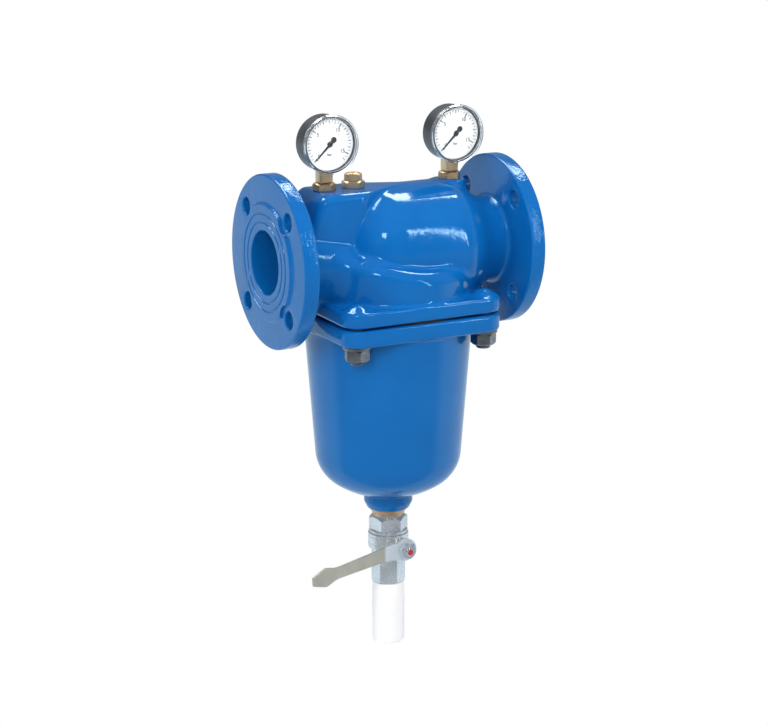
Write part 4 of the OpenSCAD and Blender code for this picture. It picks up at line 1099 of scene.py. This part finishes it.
    def bore(self, outlet: bool) -> Shape:
        """Makes the cutter of a pipe bore with a soft mouth.

        Args:
            outlet: Whether it is the outlet's bore.

        Returns:
            The cutter, closed.
        """
        depth = 92.0 if outlet else 99.0
        wide, past, r = 40, -5, self.bore_r
        corners = [(0, depth, 0), (r - 0.8, depth, 6.0), (r, 60, 0), (r, 0, 1.2), (wide, 0, 0),
                   (wide, past, 0), (0, past, 0)]
        return revolve(rounded(corners, 6)[::-1], 128).turned(at_flange(outlet))

    def build(self) -> None:
        """Makes the casting and joins its flanges to it."""
        body = surface_net(self.distance, *self.box, self.cell).build("head")
        for outlet in (False, True):
            combine(body, self.flange(outlet), Step.ADD)
            for angle in (45, 135, 225, 315):
                combine(body, self.hole(outlet, angle), Step.CUT)
            combine(body, self.bore(outlet), Step.CUT)
        r, low, high = self.elbow_r, -58, -6
        elbow = lathe([(0, low, 0), (r, low, 0), (r, high, r / 2), (0, high, 0)], 6, 48)
        combine(body, elbow.moved(x=self.elbow_x), Step.CUT)
        shade(body, 40)
        self.add(body, "enamel", "housing", slot="blue_enamel")


@dataclass
class Bowl(Assembly):
    """Hanging bowl with its square flange and drain boss, and the bolts that hold it."""

    wall_r: float = 91.0
    wall: float = 7.0
    top: float = -80.5
    draft: float = 4.35
    knuckle_r: float = 42.0
    crown_r: float = 110.0
    crown_z: float = -276.0
    plate_width: float = 187.9
    plate_corner: float = 22.0
    plate_top: float = -62.0
    mouth_z: float = -60.0
    seal_low: float = -64.0
    seal_r: float = 91.5
    foot_r: float = 31.0
    boss_r: float = 27.0
    boss_low: float = -290.0
    recess_r: float = 21.2
    drain_r: float = 20.0
    stud_r: float = 8.0
    washer_t: float = 3.0
    nut_t: float = 13.0

    def outline(self, inset: float = 0.0) -> Profile:
        """Draws the outside of the bowl from its flange down to its drain boss, or its inside.

        Args:
            inset: Thickness of the wall for the inside, nothing for the outside.

        Returns:
            Points of the line, top first.
        """
        a = math.radians(self.draft)
        normal = np.array((math.cos(a), -math.sin(a)))
        along = np.array((-math.sin(a), -math.cos(a)))
        start = np.array((self.wall_r, self.top))
        crown = np.array((0.0, self.crown_z + self.crown_r))
        first = start - self.knuckle_r * normal - crown
        b = float(first @ along)
        span = self.crown_r - self.knuckle_r
        knuckle = first + crown + (-b + math.sqrt(b * b - float(first @ first) + span * span)) * along
        knuckle_r, crown_r = self.knuckle_r - inset, self.crown_r - inset
        if inset > 0:
            start = start - inset * normal
            start = start + along * ((start[1] - self.mouth_z) / math.cos(a))
            line, skip, stop = [], 0.0, 15.0
        else:
            edge = self.wall_r - 3 * math.tan(a)
            line = [(edge + 2.6, self.top + 0.6), (edge + 0.7, self.top - 0.8), (edge, self.top - 3)]
            skip, stop = 0.06, self.foot_r
        end = knuckle + knuckle_r * normal
        line += [tuple(start + (end - start) * s) for s in np.linspace(skip, 1, 26)]
        toward = (knuckle - crown) / span
        turn = math.atan2(toward[1], toward[0]) + a
        for s in np.linspace(0, 1, 22)[1:]:
            q = turn * s - a
            line.append((knuckle[0] + knuckle_r * math.cos(q), knuckle[1] + knuckle_r * math.sin(q)))
        for s in np.linspace(0, 1, 12)[1:]:
            r = toward[0] * crown_r * (1 - s) + stop * s
            line.append((r, crown[1] - math.sqrt(crown_r ** 2 - r * r)))
        return line

    def build(self) -> None:
        """Makes the bowl and its fasteners."""
        line, inside = self.outline(), self.outline(self.wall)
        foot = line[-1][1]
        low, recess, waist, rim_r = self.boss_low, self.boss_low + 3, -282.6, 23.4
        boss = rounded([(self.foot_r, foot, 0), (self.boss_r, foot - 1.6, 3.2),
                        (self.boss_r - 0.1, waist, 5.0), (rim_r, low, 3.0), (self.recess_r, low, 0.4),
                        (self.recess_r, recess, 0), (0, recess, 0)], 7)[1:]
        lid_z, plate_edge = -72.0, 3.5
        lid = [(0.0, lid_z), (self.wall_r - 1, lid_z), (self.wall_r + 0.8, lid_z - 7)]
        bowl = revolve((lid + line + boss)[::-1], 160).build("bowl_shell")
        plate = rounded_square(self.plate_width, self.plate_corner, self.top, self.plate_top, plate_edge)
        combine(bowl, plate, Step.ADD)
        room = [(0.0, inside[-1][1])] + inside[::-1] + [(0.0, self.mouth_z)]
        combine(bowl, revolve(room, 160), Step.CUT)
        seal_seat = (self.seal_r, self.seal_low, self.mouth_z, 160)
        drain_bore = (self.drain_r, low - 2, low + 32, 96)
        for r, start, end, segments in (seal_seat, drain_bore):
            combine(bowl, revolve([(0, start), (r, start), (r, end), (0, end)], segments), Step.CUT)
        shade(bowl, 36)
        self.add(bowl, "enamel", "bowl", slot="blue_enamel")
        self.fasteners()
        self.finishes.dress_node("bowl_seal", "rubber")

    def fasteners(self) -> None:
        """Makes the studs, washers and nuts of the square joint."""
        studs, washers, nuts = [], [], []
        r, gap_r, washer_r = self.stud_r, self.stud_r + 0.6, 15
        low, high = self.top - self.washer_t, self.top
        nut_low, shank_low, shank_top = low - self.nut_t, -62, -41.6
        for i, (sx, sy) in enumerate(((1, 1), (-1, 1), (-1, -1), (1, -1))):
            x, y = sx * STUD, sy * STUD
            studs.append(screw(r, 2.0, nut_low - 4, low - 1, cut_low=1.4).moved(x, y))
            shank = [(0, shank_low), (r, shank_low), (r, shank_top), (0, shank_top)]
            studs.append(revolve(shank, 48).moved(x, y))
            disc = [(gap_r, low, 0), (washer_r, low, 0.5), (washer_r, high, 0.4), (gap_r, high, 0)]
            washers.append(lathe(disc, 4, 72, closed=True).moved(x, y))
            nut = hex_bar(24, nut_low, low, cut_low=1.9, cut_high=1.9, bore=r + 0.1, turn=12 + 17 * i)
            nuts.append(nut.moved(x, y))
        self.add(joined(*studs).build("stud_set"), "dark_steel", "bowl_studs")
        self.add(joined(*washers).build("washer_set"), "washer_steel", "bowl_washers", slot="dark_steel")
        self.add(joined(*nuts).build("nut_set", 28), "dark_steel", "bowl_nuts")


@dataclass
class Gauge(Assembly):
    """Pressure gauge on its hex bush: socket, case, printed dial, needle and clear window."""

    side: str = "inlet"
    x: float = -75.0
    bush_turn: float = 8.0
    needle_body: Body = Body.INLET_NEEDLE
    rise: float = 50.0
    case_r: float = 29.75
    lining_r: float = 28.25
    dial_z: float = 13.0
    scale_r: float = 25.0
    figure_r: float = 17.2
    zero: float = 225.0
    sweep: float = 270.0
    divisions: int = 32

    def face(self) -> Matrix:
        """Gives the place of the dial's axis, with Z out of the dial and Y up."""
        upright = Matrix.Rotation(math.radians(90), 4, "X")
        return Matrix.Translation((self.x, 0, PAD_Z + self.rise)) @ upright

    def piece(self, shape: Shape, name: str, sharp: float = 30.0) -> bpy.types.Object:
        """Builds a shape made about the dial's axis, named after the gauge's side."""
        return shape.turned(self.face()).build(f"{self.side}_{name}", sharp)

    def build(self) -> None:
        """Makes the pieces of the gauge."""
        name = f"{self.side}_gauge"
        bush = hex_bush(self.x, self.bush_turn)
        self.add(bush.build(f"{self.side}_hex_bush", 28), "brass", f"{name}_bush")
        insets = ((1.6, 7.6), (0.6, 8.0), (0.0, 8.8), (0.0, 21.0), (0.0, 22.4))
        socket = loft([square_ring(7.0 - inset, 0.7, z, 5) for inset, z in insets]).moved(self.x, 0, PAD_Z)
        self.add(socket.build(f"{self.side}_socket"), "brass", f"{name}_socket")
        self.case(name)
        self.dial(name)
        self.needle(name)
        rim, inner, outer = 19.5, self.case_r + 0.1, self.case_r + 1.7
        window = lathe([(0, 17.75, 0), (inner, 17.75, 0.3), (inner, 15.3, 0.2), (outer, 15.3, 0.5),
                        (outer, rim, 1.2), (29.0, rim, 0.4), (28.0, 19.1, 0.4), (0, 19.1, 0)], 6, 128)
        self.add(self.piece(window, "window", 34), "window", f"{name}_window", slot="gauge_window")
        for node, finish in (("movement", "brass"), ("bourdon", "bronze")):
            self.finishes.dress_node(f"{name}_{node}", finish)

    def case(self, name: str) -> None:
        """Makes the dark case with its rolled back edge, front bead and pale lining.

        Args:
            name: First part of the node names.
        """
        r, inner, front, rear, floor = self.case_r, self.lining_r, 17.6, -9, -7.4
        wall = lathe([(0, rear, 0), (r, rear, 5), (r, front, 0.4), (inner, front, 0.3), (inner, floor, 3.5),
                      (0, floor, 0)], 7, 128)
        shell = self.add(self.piece(wall, "case", 34), "gauge_case", f"{name}_case")
        shell.data.materials.append(self.finishes.made["dial_white"])
        back = self.face().inverted()
        for poly in shell.data.polygons:
            spot = back @ (poly.center / MM - Vector((MID_X, 0, 0)))
            if spot.z > self.dial_z - 1.0 and math.hypot(spot.x, spot.y) < inner + 0.15:
                poly.material_index = 1

    def angle(self, division: int) -> float:
        """Gives the place of a division of the scale round the dial, in radians."""
        return math.radians(self.zero - self.sweep * division / self.divisions)

    def dial(self, name: str) -> None:
        """Makes the white dial and prints its scale.

        Args:
            name: First part of the node names.
        """
        hole, edge, low, high = 1.25, 27.7, self.dial_z - 0.8, self.dial_z
        corners = [(hole, low, 0), (edge, low, 0.1), (edge, high, 0.1), (hole, high, 0)]
        plate = lathe(corners, 3, 128, closed=True)
        self.add(self.piece(plate, "dial"), "dial_white", f"{name}_dial", slot="gauge_dial")
        marks = []
        for i in range(self.divisions + 1):
            long, wide = (4.6, 1.1) if i % 10 == 0 else ((3.4, 0.72) if i % 2 == 0 else (2.2, 0.5))
            marks.append(self.bar(long, wide, self.angle(i)))
        for i, word in ((0, "0"), (10, "5"), (20, "10"), (30, "15")):
            a = self.angle(i)
            marks.append(self.word(word, 5.9, self.figure_r * math.cos(a), self.figure_r * math.sin(a)))
        marks.append(self.word("bar", 4.2, 0.0, -11.0))
        self.add(self.piece(joined(*marks), "dial_print"), "ink", slot="gauge_needle")

    def bar(self, long: float, wide: float, angle: float) -> Shape:
        """Makes one mark of the scale.

        Args:
            long: Length of the mark.
            wide: Width of the mark.
            angle: Place round the dial in radians.

        Returns:
            The mark as a thin plate on the dial.
        """
        inner, outer, half = self.scale_r - long, self.scale_r, wide / 2
        plan = ((inner, -half), (outer, -half), (outer, half), (inner, half))
        rings = [np.array([(r, w, self.dial_z + lift) for r, w in plan]) for lift in (-0.01, 0.04)]
        return loft(rings).turned(Matrix.Rotation(angle, 4, "Z"))

    def word(self, text: str, size: float, x: float, y: float) -> Shape:
        """Makes printed figures as thin plates on the dial.

        Args:
            text: Figures or unit to print.
            size: Height of the type.
            x: Middle of the print across the dial.
            y: Middle of the print up the dial.

        Returns:
            The print as a shape.
        """
        curve = bpy.data.curves.new("print", "FONT")
        curve.body = text
        curve.size = size
        curve.extrude = 0.025
        curve.offset = 0.11
        curve.align_x = "CENTER"
        curve.align_y = "CENTER"
        obj = bpy.data.objects.new("print", curve)
        bpy.context.scene.collection.objects.link(obj)
        bpy.context.view_layer.update()
        mesh = bpy.data.meshes.new_from_object(obj.evaluated_get(bpy.context.evaluated_depsgraph_get()))
        points = np.array([v.co for v in mesh.vertices])
        faces = [tuple(p.vertices) for p in mesh.polygons]
        bpy.data.objects.remove(obj)
        bpy.data.curves.remove(curve)
        bpy.data.meshes.remove(mesh)
        return Shape(points, faces).moved(x, y, self.dial_z + 0.015)

    def needle(self, name: str) -> None:
        """Makes the needle at zero, with its spade tip, round tail and cap.

        Args:
            name: First part of the node names.
        """
        low, edge, high = 14.05, 14.6, 14.78
        tip, tail, tail_r, hub_r = 21.0, -6.4, 3.1, 3.0
        rings = []
        spade = (21.05, 21.6, 22.3, 22.98)
        for s in np.concatenate([np.linspace(-9.48, 4, 60), np.linspace(4.5, tip, 8), spade]):
            w = 1.3 - 0.78 * s / tip if 0 <= s <= tip else (1.75 * (23 - s) / 1.95 if s > tip else 0.0)
            w = max(w, 1.8 if tail <= s <= 0 else 0.0, math.sqrt(max(0.0, hub_r ** 2 - s * s)))
            w = max(w, math.sqrt(max(0.0, tail_r ** 2 - (s - tail) ** 2)), 0.02)
            rings.append(np.array([(s, -w, low), (s, -w, edge), (s, -w * 0.8, high), (s, w * 0.8, high),
                                   (s, w, edge), (s, w, low)]))
        cap = lathe([(0, 4.0, 0), (1.2, 4.0, 0), (1.2, 14.1, 0), (2.1, 14.1, 0), (2.1, 15.5, 0.5),
                     (0, 15.6, 0)], 4, 40)
        both = joined(loft(rings), cap).turned(Matrix.Rotation(math.radians(self.zero), 4, "Z"))
        self.add(self.piece(both, "pointer"), "needle_black", f"{name}_needle", slot="gauge_needle",
                 body=self.needle_body)


@dataclass
class VentPlug(Assembly):
    """Hex bush and hex plug between the inlet gauge and the barrel."""

    x: float = -41.0

    def build(self) -> None:
        """Makes the bush and the plug."""
        self.add(hex_bush(self.x).build("plug_hex_bush", 28), "brass", "plug_bush")
        plug = hex_bar(17, 7.6, 15.0, cut_high=1.5, turn=15, dish=1.5).moved(self.x, 0, PAD_Z)
        self.add(plug.build("plug_head", 28), "brass", "vent_plug")


@dataclass
class DrainValve(Assembly):
    """Drain bush, ball valve, lever and tube under the bowl."""

    axis_z: float = -328.5
    rest: float = 3.0
    bush_top: float = -275.2
    bush_low: float = -297.0
    boss_face: float = -290.0
    bush_bore_r: float = 16.6
    thread_top: float = -289.0
    nut_top: float = -300.0
    nut_low: float = -315.0
    collar_low: float = -319.0
    drum_r: float = 22.4
    drum_low: float = -345.0
    foot_low: float = -377.0
    boss_end: float = 30.0
    stem_r: float = 4.5
    blade_back: float = 39.8
    hub_r: float = 12.5
    bend_x: float = -24.0
    bend: float = 15.0
    tube_r: float = 17.9
    tube_bore_r: float = 14.5
    tube_seat: float = -392.0
    tube_low: float = -447.0

    def build(self) -> None:
        """Makes the pieces of the drain."""
        self.bush()
        self.body()
        self.spindle()
        self.lever()
        self.tube()
        for node, finish in (("valve_seats", "seat_white"), ("stem_packing", "seat_white"),
                             ("valve_ball", "ball_chrome")):
            self.finishes.dress_node(node, finish)

    def bush(self) -> None:
        """Makes the tapered bush in the drain boss."""
        top, low, face = self.bush_top, self.bush_low, self.boss_face
        bore, r, neck = self.bush_bore_r, 21, 19.9
        corners = [(bore, low, 0), (18, low, 0.4), (18.4, low + 1.4, 0.3), (r - 0.2, face - 1.4, 0.4),
                   (r, face - 0.2, 0.3), (r, face + 2, 0), (neck, face + 2, 0), (neck, top, 0),
                   (bore, top, 0)]
        cone = lathe(corners, 4, 120, closed=True)
        self.add(cone.build("drain_cone", 26), "bronze", "drain_bush")

    def body(self) -> None:
        """Makes the valve's threaded tailpiece and its body."""
        thread = screw(16.5, 2.3, self.nut_top - 1, self.thread_top)
        nut = hex_bar(38, self.nut_low, self.nut_top, cut_high=2.6, turn=12)
        low, high, r = self.collar_low, self.nut_low, 21.4
        collar = lathe([(0, low, 0), (r - 0.4, low, 0.4), (r, low + 1.2, 0.6), (r, high - 0.8, 0.8),
                        (19.6, high, 0.3), (0, high, 0)], 5, 120)
        self.add(joined(thread, nut, collar).build("valve_nipple", 28), "nickel", "valve_tailpiece")
        r, low, top = self.drum_r, self.drum_low, self.collar_low - 0.1
        side: list[Corner] = [(0, low, 0), (16.4, low, 0), (16.6, low + 2, 0.8), (r, low + 9, 1.6)]
        for groove in (-331.0, -322.8):
            side += [(r, groove - 0.4, 0.2), (r - 0.3, groove, 0.2), (r, groove + 0.4, 0.2)]
        drum = lathe(side + [(r, top, 0.9), (0, top, 0)], 5, 144)
        foot = hex_bar(33, self.foot_low, low + 2.5, cut_low=1.4, turn=4)
        start, end, boss_r = 12, self.boss_end, 9.3
        boss = lathe([(0, start, 0), (boss_r, start, 0), (boss_r, end - 0.8, 1.0), (8.4, end, 0.3),
                      (0, end, 0)], 5, 72)
        shell = joined(drum, foot, boss.turned(to_front(self.axis_z)))
        self.add(shell.build("valve_shell", 28), "nickel", "valve_body")
        gland = hex_bar(16, end, end + 9.5, cut_low=0.6, cut_high=1.2, bore=self.stem_r + 0.1, turn=10)
        self.add(gland.turned(to_front(self.axis_z)).build("gland", 28), "zinc", "gland_nut")

    def spindle(self) -> None:
        """Makes the stem with its threaded end, the lacquer dab on it and the lever's nut."""
        place = to_front(self.axis_z, self.rest)
        r, root, thread_low, thread_end = self.stem_r, 15, 43, 52.7
        shank = revolve([(0, root), (r, root), (r, thread_low), (0, thread_low)], 48)
        stem = joined(shank, screw(r, 1.25, thread_low, thread_end, cut_high=0.8)).turned(place)
        self.add(stem.build("spindle"), "zinc", "valve_stem", body=Body.LEVER)
        dab = lathe([(0, 52.5, 0), (3.3, 52.5, 0), (3.2, 52.95, 0.2), (1.8, 53.2, 0.3), (0, 53.3, 0)],
                    4, 32)
        self.add(dab.turned(place).build("lacquer_dab", 40), "lacquer_red", slot="zinc", body=Body.LEVER)
        nut = hex_bar(17, self.blade_back + 3.0, 49.8, cut_high=1.5, bore=r, turn=14)
        self.add(nut.turned(place).build("lever_hex_nut", 28), "zinc", "lever_nut", body=Body.LEVER)

    def lever(self) -> None:
        """Makes the flat lever with its bend, narrow neck and flared tip."""
        bend = math.radians(self.bend)
        hub = np.radians(np.linspace(2, 128, 22))
        stations = [(self.hub_r * math.cos(a), self.hub_r * math.sin(a)) for a in hub]
        stations += [(-13, 9.35), (-18, 8.75), (-21, 8.6), (-23, 8.5), (-25, 8.4), (-27, 8.3), (-33, 8.0),
                     (-50, 7.5), (-70, 7.0), (-90, 6.55), (-96, 6.6), (-100, 7.2), (-108, 9.6), (-111, 10.3),
                     (-113, 10.45), (-115, 10.1), (-126, 6.4), (-129, 5.4), (-130, 4.9)]
        rings = []
        for s, w in stations:
            past = max(0.0, self.bend_x - s)
            ease = min(1.0, max(0.0, (self.bend_x + 3.0 - s) / 6.0))
            lean = bend * ease * ease * (3 - 2 * ease)
            x = max(s, self.bend_x) - past * math.cos(bend)
            z = self.blade_back + past * math.sin(bend)
            inner = w - min(0.5, w * 0.5)
            section = ((-w, 0.5), (-w, 2.5), (-inner, 3.0), (inner, 3.0), (w, 2.5), (w, 0.5), (inner, 0.0),
                       (-inner, 0.0))
            rings.append(np.array([(x + up * math.sin(lean), across, z + up * math.cos(lean))
                                   for across, up in section]))
        blade = loft(rings).turned(to_front(self.axis_z, self.rest))
        self.add(blade.build("lever_blade"), "lever_zinc", "lever", body=Body.LEVER)

    def tube(self) -> None:
        """Makes the white drain tube with its round lower edge."""
        r, bore, low, top = self.tube_r, self.tube_bore_r, self.tube_low, self.foot_low
        seat, spigot_r, spigot_bore_r, spigot_top = self.tube_seat, 13, 9.5, self.foot_low + 7
        wall = lathe([(bore, seat, 0), (bore, low, 1.2), (r, low, 2.2), (r, top, 0.8), (spigot_r, top, 0),
                      (spigot_r, spigot_top, 0), (spigot_bore_r, spigot_top, 0), (spigot_bore_r, seat, 0)],
                     6, 120, closed=True)
        self.add(wall.build("tube", 34), "tube_white", "drain_tube", slot="tube_plastic")


@dataclass
class Insert(Assembly):
    """Filter insert inside the bowl, shown by its CAD nodes, and the spring under it."""

    foot_z: float = -260.1
    coil_r: float = 19.0
    wire_r: float = 1.1
    rise: float = 19.8
    turns: int = 4

    def spring(self) -> None:
        """Makes the return spring as one fixed coil, though the real spring shortens as the insert slides
        down.
        """
        side = circle(10)
        rings = []
        for s in np.linspace(0, 1, 40 * self.turns + 1):
            angle = 2 * math.pi * self.turns * s
            r = self.coil_r + self.wire_r * np.cos(side)
            z = self.foot_z + self.wire_r + self.rise * s - self.wire_r * np.sin(side)
            rings.append(np.stack([r * math.cos(angle), r * math.sin(angle), z], 1))
        coil = self.add(loft(rings).build("spring", 40), "spring_steel", "return_spring")
        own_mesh(coil)

    def build(self) -> None:
        """Makes the spring and dresses the nodes of the insert."""
        self.spring()
        for finish, nodes in (
            ("insert_white", ("drain_guide", "insert_head", "screen_cage", "insert_base")),
            ("screen_steel", ("upper_screen", "main_screen", "impeller_shaft")),
            ("rubber", ("insert_seals",)), ("impeller_blue", ("impeller",)),
        ):
            for node in nodes:
                self.finishes.dress_node(node, finish)


# Floor, lights and camera


@dataclass(frozen=True)
class SoftBox:
    """One soft light, seen in gloss only or lighting matt surfaces only, in metres and watts."""

    name: str
    place: Point
    size: tuple[float, float]
    power: float
    mirrored: bool = False
    aim: Point = (0.145, 0.0, -0.1)

    def hang(self) -> None:
        """Hangs the light in the scene."""
        data = bpy.data.lights.new(self.name, "AREA")
        data.shape = "RECTANGLE"
        data.size, data.size_y = self.size
        data.energy = self.power
        obj = bpy.data.objects.new(self.name, data)
        obj.location = self.place
        obj.rotation_mode = "QUATERNION"
        obj.rotation_quaternion = (Vector(self.aim) - Vector(self.place)).to_track_quat("-Z", "Y")
        obj.visible_diffuse = not self.mirrored
        obj.visible_glossy = self.mirrored
        bpy.context.scene.collection.objects.link(obj)


@dataclass
class Studio:
    """White floor and backdrop, soft lights and the photograph's camera, in metres."""

    floor_z: float = -0.75
    floor_r: float = 6.0
    cove_r: float = 3.0
    wall_top: float = 8.0
    eye: Point = (-0.9100, -2.01527, 0.49087)
    yaw: float = 27.525
    pitch: float = -15.163
    roll: float = -0.138
    lens: float = 101.61
    back_level: float = 0.9
    front_level: float = 0.42
    room_level: float = 0.25

    LIGHTS: ClassVar[tuple[SoftBox, ...]] = (
        SoftBox("over_left", (-0.255, 0.64, 1.5), (0.9, 0.9), 30, mirrored=True),
        SoftBox("over_right", (0.86, 0.56, 1.4), (0.9, 0.32), 11, mirrored=True),
        SoftBox("strip", (1.2, -1.65, 0.72), (0.05, 1.3), 3.2, mirrored=True, aim=(0.16, -0.07, 0.02)),
        SoftBox("window", (-0.9, -1.6, 1.3), (0.35, 0.35), 4.5, mirrored=True),
        SoftBox("key", (-1.3, -1.5, 1.0), (0.8, 0.8), 24),
        SoftBox("head_fill", (0.2, -1.0, 0.7), (0.9, 0.5), 5, aim=(0.145, 0, 0.03)),
        SoftBox("top", (0.1, -0.4, 1.7), (1.1, 0.8), 16),
        SoftBox("right", (1.9, -0.9, 0.5), (0.6, 1.1), 12),
        SoftBox("side", (-2.3, -0.3, 0.5), (1.2, 1.4), 20),
        SoftBox("front", (0.2, -2.6, 0.2), (1.6, 1.2), 6),
        SoftBox("back", (0.9, 2.4, 0.8), (1.6, 1.4), 26),
    )

    def camera(self) -> None:
        """Places the camera at the photograph's view."""
        data = bpy.data.cameras.new("camera")
        data.sensor_width = 36.0
        data.lens = self.lens
        data.clip_start, data.clip_end = 0.05, 60.0
        obj = bpy.data.objects.new("camera", data)
        y, p, r = (math.radians(v) for v in (self.yaw, self.pitch, self.roll))
        ahead = Vector((math.cos(p) * math.sin(y), math.cos(p) * math.cos(y), math.sin(p)))
        right = Vector((math.cos(y), -math.sin(y), 0))
        up = right.cross(ahead)
        side = right * math.cos(r) + up * math.sin(r)
        top = up * math.cos(r) - right * math.sin(r)
        obj.matrix_world = Matrix.Translation(self.eye) @ Matrix((side, top, -ahead)).transposed().to_4x4()
        bpy.context.scene.collection.objects.link(obj)
        bpy.context.scene.camera = obj

    def backdrop(self) -> None:
        """Makes the floor that curves up into a backdrop on every side and is clear from below."""
        profile = [(0.0002, 0.0), (self.floor_r, 0.0)]
        for a in np.radians(np.linspace(10, 90, 9)):
            profile.append((self.floor_r + self.cove_r * math.sin(a), self.cove_r * (1 - math.cos(a))))
        profile.append((self.floor_r + self.cove_r, self.wall_top))
        rings = [ring(r / MM, -circle(64), (z + self.floor_z) / MM) for r, z in profile]
        floor = loft(rings, caps=False).build("floor", 60)
        mat = bpy.data.materials.new("floor")
        mat.use_nodes = True
        graph = Graph(mat.node_tree)
        graph.fill("Principled BSDF", {"Base Color": (0.86, 0.86, 0.86, 1), "Roughness": 0.9})
        path = graph.add("LightPath")
        mirrored = graph.add("Emission", {"Color": (0.74, 0.89, 1.0, 1.0), "Strength": self.sweep(graph)})
        matt = mat.node_tree.nodes["Principled BSDF"].outputs["BSDF"]
        surface = graph.surface(path["Is Glossy Ray"], matt, mirrored["Emission"])
        surface = graph.surface(path["Is Camera Ray"], surface, graph.add("Emission")["Emission"])
        under = graph.add("NewGeometry")["Backfacing"]
        surface = graph.surface(under, surface, graph.add("BsdfTransparent")["BSDF"])
        graph.fill("Material Output", {"Surface": surface})
        floor.data.materials.append(mat)

    def sweep(self, graph: Graph) -> bpy.types.NodeSocket:
        """Makes the mirrored level of the room, bright at the back and sides and dark in front.

        Args:
            graph: Nodes of the floor's material.

        Returns:
            The socket that gives the level.
        """
        middle, to_viewer = (MID_X * MM, 0.0, -0.1), (-0.466, -0.885, 0.0)
        place = graph.add("NewGeometry")["Position"]
        away = graph.vector("NORMALIZE", graph.vector("SUBTRACT", place, middle)["Vector"])["Vector"]
        front = graph.vector("DOT_PRODUCT", away, to_viewer)["Value"]
        front_zone, heights, top_share = (0.05, 0.30), (-0.7, 0.5), 0.35
        levels = (self.back_level, self.front_level)
        level = graph.span(front, *front_zone, *levels, interpolation_type="SMOOTHSTEP")
        height = graph.add("SeparateXYZ", {"Vector": place})["Z"]
        return graph.math("MULTIPLY", level, graph.span(height, *heights, 1.0, top_share))

    def world(self) -> None:
        """Sets the plain light of the room, white where the camera sees it."""
        world = bpy.data.worlds.new("room")
        world.use_nodes = True
        graph = Graph(world.node_tree)
        level = graph.span(graph.add("LightPath")["Is Camera Ray"], 0.0, 1.0, self.room_level, 1.0)
        graph.fill("Background", {"Color": (1, 1, 1, 1), "Strength": level})
        bpy.context.scene.world = world

    def build(self) -> None:
        """Sets up the studio."""
        bpy.context.scene.view_settings.view_transform = "Standard"
        self.camera()
        self.backdrop()
        self.world()
        for light in self.LIGHTS:
            light.hang()


def main() -> None:
    """Builds the scene."""
    logging.basicConfig(level=logging.INFO, format="%(name)s: %(message)s")
    Studio().build()
    finishes = Finishes()
    for assembly in (
        HeadCasting(finishes),
        Bowl(finishes),
        Gauge(finishes),
        Gauge(finishes, side="outlet", x=75.0, bush_turn=20.0, needle_body=Body.OUTLET_NEEDLE),
        VentPlug(finishes),
        DrainValve(finishes),
        Insert(finishes),
    ):
        LOG.info("building %s", type(assembly).__name__)
        assembly.build()


if __name__ == "__main__":
    main()
